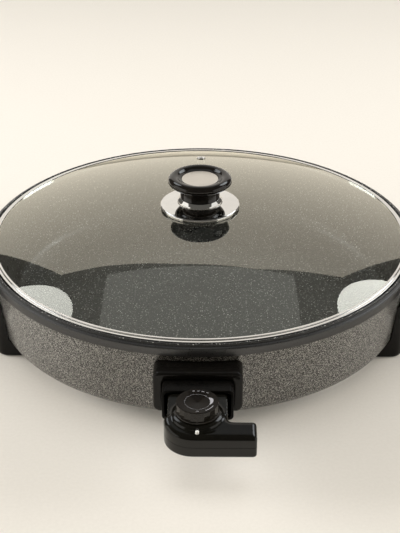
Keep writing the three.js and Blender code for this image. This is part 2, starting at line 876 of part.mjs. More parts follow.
// Polished dish under the knob, hollow towards the glass.
function knobFlange() {
  const bore = lidScrewRadius + fit;
  const seat = (radius) => crown + fit - domeDrop(radius);
  const inside = flangeRadius - flangeWall;
  return turned([
    [bore, seat(bore)],
    [flangeHubRadius, seat(flangeHubRadius)],
    [flangeHubRadius + flangeWall, crown + flangeHub - 2 * flangeWall],
    [inside, crown + flangeRim - flangeWall],
    [inside, seat(inside)],
    [flangeRadius, seat(flangeRadius)],
    [flangeRadius, crown + flangeRim - flangeBreak],
    [flangeRadius - flangeBreak, crown + flangeRim],
    [collarRadius, crown + flangeHub],
    [bore, crown + flangeHub],
  ], knobSteps);
}

function knobCollar() {
  const low = crown + flangeHub + fit;
  const bore = lidScrewRadius + fit;
  return turned(
    [
      [bore, low],
      [collarRadius - collarBreak, low],
      [collarRadius, low + collarBreak],
      [collarRadius, low + collarHeight - collarBreak],
      [collarRadius - collarBreak, low + collarHeight],
      [bore, low + collarHeight],
    ],
    knobSteps,
  );
}

// Mushroom knob with a waist, a recess for its insert and a blind hole for the screw.
function lidKnob() {
  const low = crown + flangeHub + collarHeight + 2 * fit;
  const radiusShares = [0.62, 0.63, 0.66, 0.8, 0.91, 0.98, 1, 0.98, 0.92, 0.84, 0.75, 0.67];
  const heightShares = [0, 0.3, 0.52, 0.57, 0.61, 0.69, 0.78, 0.88, 0.96, 1, 0.98, 0.91];
  const outside = radiusShares.map((share, i) => [
    share * knobRadius,
    low + heightShares[i] * knobHeight,
  ]);
  const recess = low + knobHeight - insertDrop - insertThickness - fit;
  return turned(
    [
      ...outside,
      [insertRadius + fit, low + knobHeight - insertDrop + fit],
      [insertRadius + fit, recess],
      [0, recess],
      [0, crown + lidScrewReach + fit],
      [lidScrewRadius + fit, crown + lidScrewReach + fit],
      [lidScrewRadius + fit, low],
    ],
    knobSteps,
  );
}

function knobInsert() {
  const top = crown + flangeHub + collarHeight + 2 * fit + knobHeight - insertDrop;
  return rod(insertRadius, [0, 0, top - insertThickness], [0, 0, top], knobSteps);
}

// Soft washer between the glass and the head of the screw.
function lidWasher() {
  const top = crown - glassThickness - fit - domeDrop(lidWasherRadius);
  const bore = lidScrewRadius + fit;
  return turned(
    [
      [bore, top - lidWasherThickness],
      [lidWasherRadius, top - lidWasherThickness],
      [lidWasherRadius, top],
      [bore, top],
    ],
    knobSteps,
  );
}

function knobScrew() {
  const seat = crown - glassThickness - 2 * fit - domeDrop(lidWasherRadius) - lidWasherThickness;
  const head = rod(lidScrewHead, [0, 0, seat - lidScrewHeadHeight], [0, 0, seat]);
  const neck = seat - lidScrewHeadHeight / 2;
  return head.add(rod(lidScrewRadius, [0, 0, neck], [0, 0, crown + lidScrewReach]));
}

// Plan outline of the control's body and arm, drawn in by a wall.
function bodyOutline(inset) {
  const half = neckWidth / 2 - inset;
  const left = inset - bodyLeft;
  const back = -mouthGap - inset;
  const front = inset - bodyDepth;
  const end = armReach - inset;
  const shoulder = armDepth - bodyDepth - inset;
  const [corner, sweep] = [backCorner - inset, frontCorner - inset];
  const [tip, fillet] = [armCorner - inset, armFillet + inset];
  const quarter = Math.PI / 2;
  const shape = new THREE.Shape();
  shape.absarc(half - corner, back - corner, corner, quarter, 0, true);
  shape.absarc(half + fillet, shoulder + fillet, fillet, 2 * quarter, 3 * quarter);
  shape.absarc(end - tip, shoulder - tip, tip, quarter, 0, true);
  shape.absarc(end - tip, front + tip, tip, 0, -quarter, true);
  shape.absarc(left + sweep, front + sweep, sweep, 3 * quarter, 2 * quarter, true);
  shape.lineTo(-half, front + sweep + armFillet);
  shape.absarc(corner - half, back - corner, corner, 2 * quarter, quarter, true);
  return shape;
}

// The whole case of the control before it is split along its seam.
function controlCase() {
  const neck = roundedRectangle(neckWidth, neckHeight, neckCorner);
  const neckInside = roundedRectangle(
    neckWidth - 2 * controlWall,
    neckHeight - 2 * controlWall,
    neckCorner - controlWall,
  );
  const cone = (foot, head, low, high) =>
    turned(
      [
        [0, low],
        [foot, low],
        [head, high],
        [0, high],
      ],
      knobSteps,
    ).translate([0, -dialReach, 0]);
  const half = neckWidth / 2;
  let body = upright(bodyOutline(0), -bodyDrop - bodyBevel, bodyRise, bodyBevel);
  body = body.subtract(
    block(
      [-armReach - overrun, -bodyDepth - overrun, -bodyDrop - overrun],
      [armReach + overrun, 0, -bodyDrop],
    ),
  );
  body = body.add(cone(turretFoot, turretTop, bodyRise - bodyBevel, turretRise));
  body = body.add(block([-half, -dialReach, 0], [half, 0, turretRise]));
  body = body.add(frontwards(neck, neckLength, -mouthGap - controlWall));
  body = body.subtract(
    block([-neckWidth, -dialReach, turretRise], [neckWidth, -mouthGap, neckHeight]),
  );
  const inside = upright(bodyOutline(controlWall), controlWall - bodyDrop, bodyRise - controlWall);
  const head = turretTop - controlWall;
  const turret = cone(head, head, 0, turretRise - controlWall);
  const passage = block(
    [controlWall - half, -dialReach, controlWall - neckHeight / 2],
    [half - controlWall, neckCorner, turretRise - controlWall],
  );
  body = body.subtract(inside).subtract(turret).subtract(passage);
  const end = controlWall - mouthGap;
  return body.subtract(frontwards(neckInside, neckLength - controlWall, end));
}

// Everything that passes through the case: pins, probe, dial shaft, lens and lead.
function controlHoles() {
  const front = -mouthGap - backCorner;
  const through = [
    [-pinSpread, 0, pinRadius + 2 * fit],
    [pinSpread, 0, pinRadius + 2 * fit],
    [0, -earthDrop, earthRadius + 2 * fit],
    [0, probeRise, probeRadius + fit],
  ];
  const holes = through.map(([x, z, radius]) =>
    rod(radius, [x, front, z], [x, neckLength + overrun, z]),
  );
  const dial = [0, -dialReach];
  holes.push(rod(shaftRadius + fit, [...dial, 0], [...dial, turretRise + overrun]));
  const lens = [0, -lensReach];
  holes.push(rod(lensRadius + fit, [...lens, 0], [...lens, turretRise + overrun]));
  const [y, z] = grommetCentre();
  const start = [armReach - controlWall - overrun, y, z];
  holes.push(rod(grommetRadius + fit, start, [armReach + overrun, y, z]));
  return holes;
}

// Centre of the cord inlet in the end of the arm.
function grommetCentre() {
  return [armDepth / 2 - bodyDepth, (bodyRise - bodyDrop) / 2];
}

// Where the two screws of the control go.
function bossPlaces() {
  return [-1, 1].map((side) => [side * bossSpread, -bossReach]);
}

function controlUpperShell(casing) {
  const slab = block(
    [-armReach - overrun, -bodyDepth - overrun, fit / 2 - seamDrop],
    [armReach + overrun, neckLength + overrun, turretRise + neckHeight],
  );
  let body = casing.intersect(slab);
  for (const place of bossPlaces()) {
    const low = [...place, fit / 2 - seamDrop];
    const roof = [...place, bodyRise - controlWall - fit];
    body = body.add(rod(screwRadius + bossWall, low, [...place, bodyRise - controlWall / 2]));
    body = body.subtract(rod(screwRadius, [...place, -bodyDrop], roof));
  }
  return body;
}

function controlLowerShell(casing) {
  const slab = block(
    [-armReach - overrun, -bodyDepth - overrun, -bodyDrop - overrun],
    [armReach + overrun, neckLength + overrun, -fit / 2 - seamDrop],
  );
  let body = casing.intersect(slab);
  for (const place of bossPlaces()) {
    const low = [...place, controlScrewSink - bodyDrop - fit];
    const top = [...place, -fit / 2 - seamDrop];
    body = body.add(rod(screwHead + bossWall, [...place, controlWall / 2 - bodyDrop], top));
    body = body.subtract(rod(screwRadius + fit, low, [...place, 0]));
    const sink = [...place, controlScrewSink - bodyDrop];
    body = body.subtract(rod(screwHead + fit, [...place, -bodyDrop - overrun], sink));
  }
  return body;
}

function controlScrew([x, y]) {
  const seat = controlScrewSink - bodyDrop - fit;
  const head = rod(screwHead, [x, y, seat - screwHeadHeight], [x, y, seat]);
  const top = bodyRise - controlWall - 2 * fit;
  return head.add(rod(screwRadius - fit, [x, y, seat - screwHeadHeight / 2], [x, y, top]));
}

// Temperature probe, from the thermostat's frame to the wall of the pan.
function probe() {
  const tip = sleeveReach - panRadiusAt(probeHeight + probeRadius) - fit;
  return rod(probeRadius, [0, -frameBack + fit, probeRise], [0, tip, probeRise]);
}

// Spring sleeve that a pin slides into.
function contact(x, z, radius) {
  const back = neckLength - controlWall - fit;
  const bore = rod(radius + fit, [x, back + overrun, z], [x, back - contactLength - overrun, z]);
  const outside = rod(radius + fit + contactWall, [x, back, z], [x, back - contactLength, z]);
  return outside.subtract(bore);
}

// Bent steel frame of the thermostat: a top, two legs and a flange for the probe.
function thermostatFrame() {
  const floor = controlWall - bodyDrop + fit;
  const under = -frameDrop;
  const top = under + frameSheet;
  let body = block([-frameHalfWidth, -frameFront, under], [frameHalfWidth, -frameBack, top]);
  for (const side of [-1, 1]) {
    const x = [side * frameHalfWidth, side * (frameHalfWidth - frameSheet)].sort((a, b) => a - b);
    body = body.add(block([x[0], -frameFront, floor], [x[1], -frameBack - frameLegInset, top]));
  }
  const flange = block(
    [-frameFlangeHalfWidth, -frameBack - frameSheet, under],
    [frameFlangeHalfWidth, -frameBack, frameFlangeRise],
  );
  const shaft = [0, -dialReach];
  body = body.add(flange);
  return body.subtract(rod(shaftRadius + fit, [...shaft, -bodyDrop], [...shaft, 0]));
}

function bimetalBlade() {
  const top = -frameDrop - fit;
  return block(
    [-bladeHalfWidth, bladeInset - frameFront, top - bladeThickness],
    [bladeHalfWidth, -bladeInset - frameBack, top],
  );
}

function indexLens() {
  const place = [0, -lensReach];
  return rod(lensRadius, [...place, lensTop - lensHeight], [...place, lensTop]);
}

function indicatorLamp() {
  const place = [0, -lensReach];
  const top = lensTop - lensHeight - fit;
  return rod(lampRadius, [...place, top - lampHeight], [...place, top]);
}

// Flanged bush in the cord inlet.
function cordGrommet() {
  const [y, z] = grommetCentre();
  const inside = armReach - controlWall - fit;
  const start = inside - grommetFlangeLength;
  const body = rod(grommetRadius + grommetFlange, [start, y, z], [inside, y, z]);
  const outer = rod(grommetRadius, [inside - fit, y, z], [armReach, y, z]);
  return body.add(outer).subtract(rod(grommetBore, [0, y, z], [armReach + overrun, y, z]));
}

// Low bridge on the floor of the arm that the lead would be clamped under.
function cordClamp() {
  const [y] = grommetCentre();
  const half = armDepth / 2 - controlWall - fit;
  const floor = controlWall - bodyDrop + fit;
  return block(
    [clampReach, y - half, floor],
    [clampReach + clampLength, y + half, floor + clampHeight],
  );
}

// Ring under the dial, on the turret.
function dialSkirt() {
  const low = turretRise + fit;
  const ends = [low, low + dialSkirtHeight];
  const ring = rod(dialSkirtRadius, [0, 0, ends[0]], [0, 0, ends[1]], knobSteps);
  return ring.subtract(rod(shaftRadius + fit, [0, 0, 0], [0, 0, low + overrun]));
}

// Fluted dial knob with flat facets and a blind hole for the shaft.
function dialKnob() {
  const low = turretRise + dialSkirtHeight + 2 * fit;
  const top = low + dialHeight;
  const bore = shaftRadius + fit;
  const roof = low + shaftInKnob + fit;
  return turned(
    [
      [0, roof],
      [bore, roof],
      [bore, low],
      [dialRadius, low],
      [dialRadius - dialTaper, top - dialBreak],
      [dialRadius - dialTaper - dialBreak, top],
      [0, top],
    ],
    dialSides,
  );
}

function dialShaft() {
  const low = fit - frameDrop;
  const top = turretRise + dialSkirtHeight + 2 * fit + shaftInKnob;
  return rod(shaftRadius, [0, 0, low], [0, 0, top]);
}

const skillet = new THREE.Group();
skillet.position.y = (controlReach - rimRadius) / 2;

const base = new THREE.Group();
skillet.add(base);
addPiece(base, "pan", "nonStick", pan());
addPiece(base, "outer_casing", "hammertone", outerCasing());
addPiece(base, "heating_element", "sheath", heatingElement());
for (let i = 0; i < clipCount; i += 1) {
  const angle = Math.PI / 2 + (2 * Math.PI * i) / clipCount;
  addPiece(base, `element_clip_${i + 1}`, "zinc", elementClip(angle));
}
addPiece(base, "centre_washer", "zinc", centreWasher());
addPiece(base, "centre_nut", "zinc", centreNut());
addPiece(base, "socket_housing", "bakelite", socketHousing());
addPiece(base, "socket_sleeve", "bakelite", socketSleeve());
addPiece(base, "pin_holder", "steatite", pinHolder());
addPiece(base, "earth_pin", "zinc", earthPin());
addPiece(base, "probe_sleeve", "zinc", probeSleeve());
for (const [word, side] of [["left", -1], ["right", 1]]) {
  addPiece(base, `lead_strip_${word}`, "brass", leadStrip(side));
  addPiece(base, `element_pin_${word}`, "zinc", elementPin(side));
  addPiece(base, `socket_screw_${word}`, "zinc", socketScrew(side));
}
const handle = rightHandle();
addPiece(base, "handle_right", "bakelite", handle);
addPiece(base, "handle_left", "bakelite", handle.mirror([1, 0, 0]));
handleScrewPlaces().forEach((place, i) => {
  addPiece(base, `handle_screw_${i + 1}`, "zinc", handleScrew(place));
  const [x, y] = place.map(Math.sign);
  addPiece(base, `foot_pad_${i + 1}`, "rubber", footPad(x * padReach, y * padSpread));
});

const lid = new THREE.Group();
lid.position.z = lidSeat;
skillet.add(lid);
addPiece(lid, "lid_glass", "glass", lidGlass());
addPiece(lid, "lid_band", "chrome", lidBand());
addPiece(lid, "vent_grommet", "chrome", ventGrommet());
addPiece(lid, "knob_flange", "chrome", knobFlange());
addPiece(lid, "knob_collar", "chrome", knobCollar());
addPiece(lid, "lid_knob", "bakelite", lidKnob());
addPiece(lid, "knob_insert", "brushed", knobInsert());
addPiece(lid, "lid_washer", "rubber", lidWasher());
addPiece(lid, "knob_screw", "zinc", knobScrew());

const control = new THREE.Group();
control.position.set(0, -sleeveReach, socketHeight);
skillet.add(control);
const casing = controlHoles().reduce((body, hole) => body.subtract(hole), controlCase());
addPiece(control, "control_upper_shell", "bakelite", controlUpperShell(casing));
addPiece(control, "control_lower_shell", "bakelite", controlLowerShell(casing));
bossPlaces().forEach((place, i) => {
  addPiece(control, `control_screw_${i + 1}`, "zinc", controlScrew(place));
});
addPiece(control, "probe", "brushed", probe());
addPiece(control, "contact_left", "brass", contact(-pinSpread, 0, pinRadius));
addPiece(control, "contact_right", "brass", contact(pinSpread, 0, pinRadius));
addPiece(control, "earth_contact", "brass", contact(0, -earthDrop, earthRadius));
addPiece(control, "thermostat_frame", "zinc", thermostatFrame());
addPiece(control, "bimetal_blade", "brass", bimetalBlade());
addPiece(control, "index_lens", "lens", indexLens());
addPiece(control, "indicator_lamp", "lens", indicatorLamp());
addPiece(control, "cord_grommet", "rubber", cordGrommet());
addPiece(control, "cord_clamp", "zinc", cordClamp());

const dial = new THREE.Group();
dial.position.y = -dialReach;
control.add(dial);
addPiece(dial, "dial_skirt", "dial", dialSkirt());
addPiece(dial, "dial_knob", "dial", dialKnob());
addPiece(dial, "dial_shaft", "zinc", dialShaft());

export default skillet;
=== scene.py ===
"""Looks of the round electric skillet with a glass lid and a plug-in control."""

import math

import bmesh
import bpy
from mathutils import Matrix, Vector


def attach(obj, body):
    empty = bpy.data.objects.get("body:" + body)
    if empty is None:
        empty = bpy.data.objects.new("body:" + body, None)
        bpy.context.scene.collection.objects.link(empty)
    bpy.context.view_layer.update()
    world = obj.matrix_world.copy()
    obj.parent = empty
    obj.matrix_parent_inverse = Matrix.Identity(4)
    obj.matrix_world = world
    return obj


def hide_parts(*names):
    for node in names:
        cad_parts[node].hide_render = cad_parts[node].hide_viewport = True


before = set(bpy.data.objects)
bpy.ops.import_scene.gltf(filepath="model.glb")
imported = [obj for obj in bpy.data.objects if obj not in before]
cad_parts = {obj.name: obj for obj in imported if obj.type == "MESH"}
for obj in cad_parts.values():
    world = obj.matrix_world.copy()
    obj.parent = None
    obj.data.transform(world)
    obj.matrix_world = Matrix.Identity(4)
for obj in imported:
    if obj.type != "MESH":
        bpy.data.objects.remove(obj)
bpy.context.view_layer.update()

# Lengths are millimetres, heights are above the table.
MM = 0.001
FIT = 0.3  # gap between two pieces that touch
PAN_AXIS = (0, 40, 0)
PLUG = (0, -199, 51.6)  # middle of the control's mouth
ROUND_STEPS = 224
SMALL_STEPS = 96

# Camera
VIEW_TURN = math.radians(0.45)
VIEW_DISTANCE = 1.0481
VIEW_HEIGHT = 0.6287
VIEW_TARGET = (0, 0.040, 0.0506)
VIEW_LENS = 81.05
FILM_WIDTH = 36

# Studio
FLOOR_GLOW = 0.1  # share of the floor's own pale colour that the camera sees
FLOOR = ((-6000, -6000), (6000, -6000), (6000, 6000), (-6000, 6000))
BACKDROP_DISTANCE = 2940
BACKDROP = (
    (-2000, 0), (2000, 0), (1520, 2900), (600, 3220), (-260, 3150), (-1070, 2930), (-1520, 2880),
)
CEILING_HEIGHT = 3000
CEILING = ((-970, 1120), (950, 1120), (970, 2720), (-1000, 2720))
PANEL_DISTANCE = 2900
SIDE_PANEL = ((-2400, 150), (900, 150), (900, 2500), (-2400, 2500))
SOFTBOX_SPREAD = 75

# Pan and casing
RIM_RADIUS = 210
RIM_HEIGHT = 88
LIP_HEIGHT = 90
LEDGE_HEIGHT = 84.5
COOKING_HEIGHT = 25.7
BASE_HEIGHT = 11.5
CASING_CORNER = 12
CASING_LOW_RADIUS = 200.3
CASING_TOP_RADIUS = 206.8
CASING_TOP = 84.8
CASING_CENTRE = (188.3, 23.5)  # middle of the bend between floor and wall

# Side handles, drawn for the right-hand one
HANDLE_ROOT = 163
HANDLE_REACH = 262
HANDLE_SIDE = 88  # half of its width
HANDLE_TOP = 62
LEG_REACH = 194
LEG_FOOT = 0.7
HANDLE_SCREW = (170, 68)
FOOT_PAD = (183, 73)

# Lid
CROWN = 118.3
DOME_RADIUS = 717.3
GLASS_RADIUS = 199.5
GLASS_THICKNESS = 4
GLASS_BORE = 4.5
SEAT_HEIGHT = 84.8
VENT_REACH = 149
KNOB_FOOT = CROWN + 10.3
KNOB_RADIUS = 30.7
KNOB_HEIGHT = 21.4
KNOB_DISC_TOP = KNOB_FOOT + KNOB_HEIGHT - 3

# Socket
SOCKET_HEIGHT = 51.6
HOUSING_MIDDLE = 53.9
HOUSING_FRONT = 224
SLEEVE_FRONT = 239
SLEEVE_PLATE = 208.78
PLATE_HOLE = (44.6, 22.6, 3, SOCKET_HEIGHT)  # width, height, corner and middle
SOCKET_SCREW_REACH = 33.65

# Control
BODY_LEFT = 27.2
BODY_DEPTH = 51
BODY_DROP = 13.8
BODY_RISE = 6.4
ARM_REACH = 47.4
ARM_DEPTH = 20.5
MOUTH_GAP = 1
NECK_WIDTH = 49
NECK_HEIGHT = 23.4
NECK_LENGTH = 23.52
WALL = 2
TURRET_RISE = 10.4
TURRET_TOP = 20.4
DIAL_REACH = 23
LENS_REACH = 45.2
SEAM = -4.5
CREST = 9.1  # the body's top beside the dial, from where it falls towards the front
TOP_SLOPE = 0.13
SLOPE_START = -23
NECK_DIP = 8.2  # top of the neck beside the dial
DIAL_SIDES = 20
DIAL_DISH = 1.7  # middle of the dial's top below its edge
DIAL_HOLLOW = 0.25  # hollow of each side of the dial
DIAL_RADIUS = 17.4
DIAL_HEIGHT = 8.2


# Shapes


def arc(centre, radius, start, end, steps):
    """Points of an arc, from one angle in degrees to another."""
    turns = [math.radians(start + (end - start) * k / steps) for k in range(steps + 1)]
    return [(centre[0] + radius * math.cos(t), centre[1] + radius * math.sin(t)) for t in turns]


def softened(corners, steps=5):
    """Closed outline with an arc at each corner that names a radius."""
    points = []
    for index, corner in enumerate(corners):
        here = Vector(corner[:2])
        if len(corner) < 3:
            points.append(tuple(here))
            continue
        before = Vector(corners[index - 1][:2]) - here
        after = Vector(corners[(index + 1) % len(corners)][:2]) - here
        half = before.angle(after) / 2
        reach = min(corner[2] / math.tan(half), before.length / 2.05, after.length / 2.05)
        radius = reach * math.tan(half)
        middle = here + (before.normalized() + after.normalized()).normalized() * (
            radius / math.sin(half)
        )
        first = here + before.normalized() * reach - middle
        last = here + after.normalized() * reach - middle
        start = math.atan2(first.y, first.x)
        turn = (math.atan2(last.y, last.x) - start + math.pi) % (2 * math.pi) - math.pi
        points += arc(middle, radius, math.degrees(start), math.degrees(start + turn), steps)
    return points


def loft(rings, closed=False):
    """Skin between rings of points; a ring of one point is a pole."""
    points = []
    faces = []
    starts = []
    for ring in rings:
        starts.append(len(points))
        points.extend(ring)
    pairs = [(k, k + 1) for k in range(len(rings) - 1)]
    if closed:
        pairs.append((len(rings) - 1, 0))
    for low, high in pairs:
        low_count, high_count = len(rings[low]), len(rings[high])
        for k in range(max(low_count, high_count)):
            n = k + 1
            corners = [starts[low] + k % low_count, starts[low] + n % low_count]
            corners += [starts[high] + n % high_count, starts[high] + k % high_count]
            corners = list(dict.fromkeys(corners))
            if len(corners) > 2:
                faces.append(corners)
    if not closed:
        for index in (0, -1):
            if len(rings[index]) > 2:
                faces.append([starts[index] + k for k in range(len(rings[index]))])
    return points, faces


def lathe(profile, steps=ROUND_STEPS):
    """A closed outline of radius and height turned about the upright axis."""
    rings = []
    for radius, height in profile:
        if radius < 1e-6:
            rings.append([(0, 0, height)])
            continue
        turns = [2 * math.pi * k / steps for k in range(steps)]
        rings.append([(radius * math.cos(t), radius * math.sin(t), height) for t in turns])
    return loft(rings, closed=True)


def slab(outline, low, high, low_round=(0, 0), high_round=(0, 0), steps=6):
    """An outline stood up between two heights; each round edge has a width and a height."""
    rings = []
    for k in range(steps + 1):
        angle = math.pi / 2 * k / steps
        points = outline(low_round[0] * (1 - math.sin(angle)))
        rings.append([(x, y, low + low_round[1] * (1 - math.cos(angle))) for x, y in points])
        if not low_round[1]:
            break
    for k in range(steps + 1):
        angle = math.pi / 2 * k / steps
        points = outline(high_round[0] * (1 - math.cos(angle)))
        rings.append([(x, y, high - high_round[1] * (1 - math.sin(angle))) for x, y in points])
        if not high_round[1]:
            break
    return loft(rings)


def rod(radius, start, end, steps=48):
    """A round bar between two points."""
    line = Vector(end) - Vector(start)
    turn = line.to_track_quat("Z", "Y")
    rings = []
    for point in (Vector(start), Vector(end)):
        ring = []
        for k in range(steps):
            angle = 2 * math.pi * k / steps
            side = Vector((radius * math.cos(angle), radius * math.sin(angle), 0))
            ring.append(tuple(point + turn @ side))
        rings.append(ring)
    return loft(rings)


def block(low, high):
    """A box between two corners."""
    (x0, y0, z0), (x1, y1, z1) = low, high
    plan = [(x0, y0), (x1, y0), (x1, y1), (x0, y1)]
    return loft([[(x, y, z) for x, y in plan] for z in (z0, z1)])


def sheet(*corners):
    """One flat face."""
    return list(corners), [list(range(len(corners)))]


def rounded_rectangle(width, height, corner, middle=0, steps=8):
    """Outline in X and Z about the Z axis."""
    x, z = width / 2 - corner, height / 2 - corner
    points = []
    for side_x, side_z, start in ((1, 1, 0), (-1, 1, 90), (-1, -1, 180), (1, -1, 270)):
        centre = (side_x * x, middle + side_z * z)
        points += arc(centre, corner, start, start + 90, steps)
    return points


def placed(name, data):
    """A new object in the scene."""
    made = bpy.data.objects.new(name, data)
    bpy.context.scene.collection.objects.link(made)
    return made


def solid(name, shape, at=(0, 0, 0)):
    """A new object from points and faces in millimetres."""
    points, faces = shape
    mesh = bpy.data.meshes.new(name)
    places = [tuple((p + a) * MM for p, a in zip(point, at)) for point in points]
    mesh.from_pydata(places, [], faces)
    work = bmesh.new()
    work.from_mesh(mesh)
    bmesh.ops.recalc_face_normals(work, faces=work.faces)
    work.to_mesh(mesh)
    work.free()
    return placed(name, mesh)


def settle(piece):
    """Turns the modifiers of a piece into its mesh."""
    graph = bpy.context.evaluated_depsgraph_get()
    mesh = bpy.data.meshes.new_from_object(piece.evaluated_get(graph))
    piece.modifiers.clear()
    piece.data = mesh


def combine(piece, shape, how="DIFFERENCE", at=(0, 0, 0)):
    """Cuts, joins or keeps the common part of a piece and a shape."""
    tool = solid("tool", shape, at)
    step = piece.modifiers.new("combine", "BOOLEAN")
    step.operation = how
    step.solver = "MANIFOLD"
    step.object = tool
    settle(piece)
    bpy.data.objects.remove(tool)


def moulded(piece, voxel, passes):
    """Runs a piece into one skin with soft edges."""
    skin = piece.modifiers.new("skin", "REMESH")
    skin.mode = "VOXEL"
    skin.voxel_size = voxel * MM
    soft = piece.modifiers.new("soft", "SMOOTH")
    soft.factor = 0.5
    soft.iterations = passes
    settle(piece)


def joined(name, *pieces):
    """One object from the meshes of several, which go."""
    work = bmesh.new()
    for item in pieces:
        item.data.transform(item.matrix_world)
        work.from_mesh(item.data)
        bpy.data.objects.remove(item)
    mesh = bpy.data.meshes.new(name)
    work.to_mesh(mesh)
    work.free()
    return placed(name, mesh)


def dress(piece, body, material, nodes=(), edge=32):
    """Shading, finish and the body that a piece rides on."""
    mesh = piece.data
    mesh.materials.clear()
    mesh.materials.append(material)
    mesh.polygons.foreach_set("use_smooth", [True] * len(mesh.polygons))
    mesh.set_sharp_from_angle(angle=math.radians(edge))
    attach(piece, body)
    if nodes:
        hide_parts(*nodes)


def finish_faces(piece, finish, chosen):
    """A second finish on the faces that a test picks."""
    piece.data.materials.append(finish)
    for face in piece.data.polygons:
        if chosen(face):
            face.material_index = 1


# Finishes


class Wire:
    """An output of a node; sums on it add Math nodes."""

    def __init__(self, recipe, socket):
        self.recipe = recipe
        self.socket = socket

    def _sum(self, operation, first, second):
        return self.recipe.node("ShaderNodeMath", {"operation": operation}, {0: first, 1: second})

    def __add__(self, other):
        return self._sum("ADD", self, other)

    def __sub__(self, other):
        return self._sum("SUBTRACT", self, other)

    def __mul__(self, other):
        return self._sum("MULTIPLY", self, other)

    def __pow__(self, other):
        return self._sum("POWER", self, other)

    __radd__ = __add__
    __rmul__ = __mul__


class Recipe:
    """The nodes of one material, or of the world."""

    def __init__(self, owner):
        owner.use_nodes = True
        self.tree = owner.node_tree
        self.tree.nodes.clear()

    def node(self, kind, settings=None, sockets=None, output=0):
        made = self.tree.nodes.new(kind)
        for name, value in (settings or {}).items():
            if name == "stops":
                self._stops(made.color_ramp, value)
            else:
                setattr(made, name, value)
        for key, value in (sockets or {}).items():
            if isinstance(value, Wire):
                self.tree.links.new(value.socket, made.inputs[key])
            else:
                made.inputs[key].default_value = value
        return Wire(self, made.outputs[output]) if made.outputs else None

    @staticmethod
    def _stops(ramp, stops):
        while len(ramp.elements) < len(stops):
            ramp.elements.new(1)
        for element, (place, colour) in zip(ramp.elements, stops):
            element.position = place
            element.color = colour

    def place(self, stretch=(1, 1, 1)):
        """Object coordinates in millimetres, stretched along each axis."""
        here = self.node("ShaderNodeTexCoord", output="Object")
        scale = tuple(share / MM for share in stretch)
        return self.node("ShaderNodeVectorMath", {"operation": "MULTIPLY"}, {0: here, 1: scale})

    def noise(self, size, detail=2, stretch=(1, 1, 1), distortion=0.0):
        """Soft noise with patches of about a size in millimetres."""
        sockets = {
            "Vector": self.place(stretch),
            "Scale": 1 / size,
            "Detail": detail,
            "Distortion": distortion,
        }
        return self.node("ShaderNodeTexNoise", None, sockets)

    def cells(self, size):
        """Distance from the middle of cells of about a size in millimetres."""
        sockets = {"Vector": self.place(), "Scale": 1 / size}
        return self.node("ShaderNodeTexVoronoi", None, sockets, "Distance")

    def ramp(self, factor, *stops):
        """A colour ramp of places and colours."""
        return self.node("ShaderNodeValToRGB", {"stops": stops}, {0: factor})

    def band(self, factor, low, high, start=0.0, end=1.0):
        """A number that runs from start to end as the factor runs from low to high."""
        sockets = {0: factor, 1: low, 2: high, 3: start, 4: end}
        return self.node("ShaderNodeMapRange", None, sockets)

    def mix(self, factor, first, second, kind="MIX"):
        settings = {"data_type": "RGBA", "blend_type": kind}
        return self.node("ShaderNodeMix", settings, {0: factor, 6: first, 7: second}, 2)

    def bump(self, height, distance, strength=1.0):
        sockets = {"Height": height, "Distance": distance * MM, "Strength": strength}
        return self.node("ShaderNodeBump", None, sockets)

    def end(self, shader, kind="ShaderNodeOutputMaterial"):
        self.node(kind, None, {0: shader})

    def surface(self, sockets):
        """Principled surface from its sockets, as the material's end."""
        self.end(self.node("ShaderNodeBsdfPrincipled", None, sockets))


def tone(red, green, blue):
    """A colour from its linear parts."""
    return (red, green, blue, 1.0)


def material(name):
    made = bpy.data.materials.new(name)
    return made, Recipe(made)


def hammertone():
    """Grey-brown hammered paint: small pale dimples in a dark worm-like net."""
    made, mix = material("hammertone_paint")
    wander = mix.noise(1.8, 1)
    cells = mix.cells(0.8)
    worms = mix.noise(0.58, 0, distortion=0.4)
    height = mix.band(worms - 0.55 * cells, 0.0, 0.42)
    patches = mix.noise(38, 2)
    paint = mix.ramp(
        height,
        (0.0, tone(0.006, 0.0057, 0.0053)),
        (0.44, tone(0.02, 0.019, 0.0175)),
        (0.72, tone(0.12, 0.116, 0.106)),
        (1.0, tone(0.5, 0.487, 0.455)),
    )
    shade = mix.ramp(patches, (0.3, tone(0.88, 0.88, 0.87)), (0.7, tone(1, 1, 1)))
    mix.surface(
        {
            "Base Color": mix.mix(1.0, paint, shade, "MULTIPLY"),
            "Metallic": 0.35,
            "Roughness": mix.band(wander, 0.3, 0.7, 0.34, 0.48),
            "Coat Weight": 0.85,
            "Coat Roughness": 0.16,
            "Normal": mix.bump(height, 0.1, 0.6),
        }
    )
    return made


def band_paint():
    """Smooth charcoal coating of the rim's outer band."""
    made, mix = material("rim_coating")
    grain = mix.noise(0.9, 3)
    patches = mix.noise(30, 2)
    mix.surface(
        {
            "Base Color": mix.ramp(
                patches, (0.3, tone(0.011, 0.011, 0.0112)), (0.7, tone(0.016, 0.016, 0.0165))
            ),
            "Roughness": mix.band(grain, 0.3, 0.7, 0.26, 0.36),
            "Specular IOR Level": 0.8,
            "Normal": mix.bump(grain, 0.006, 0.4),
        }
    )
    return made


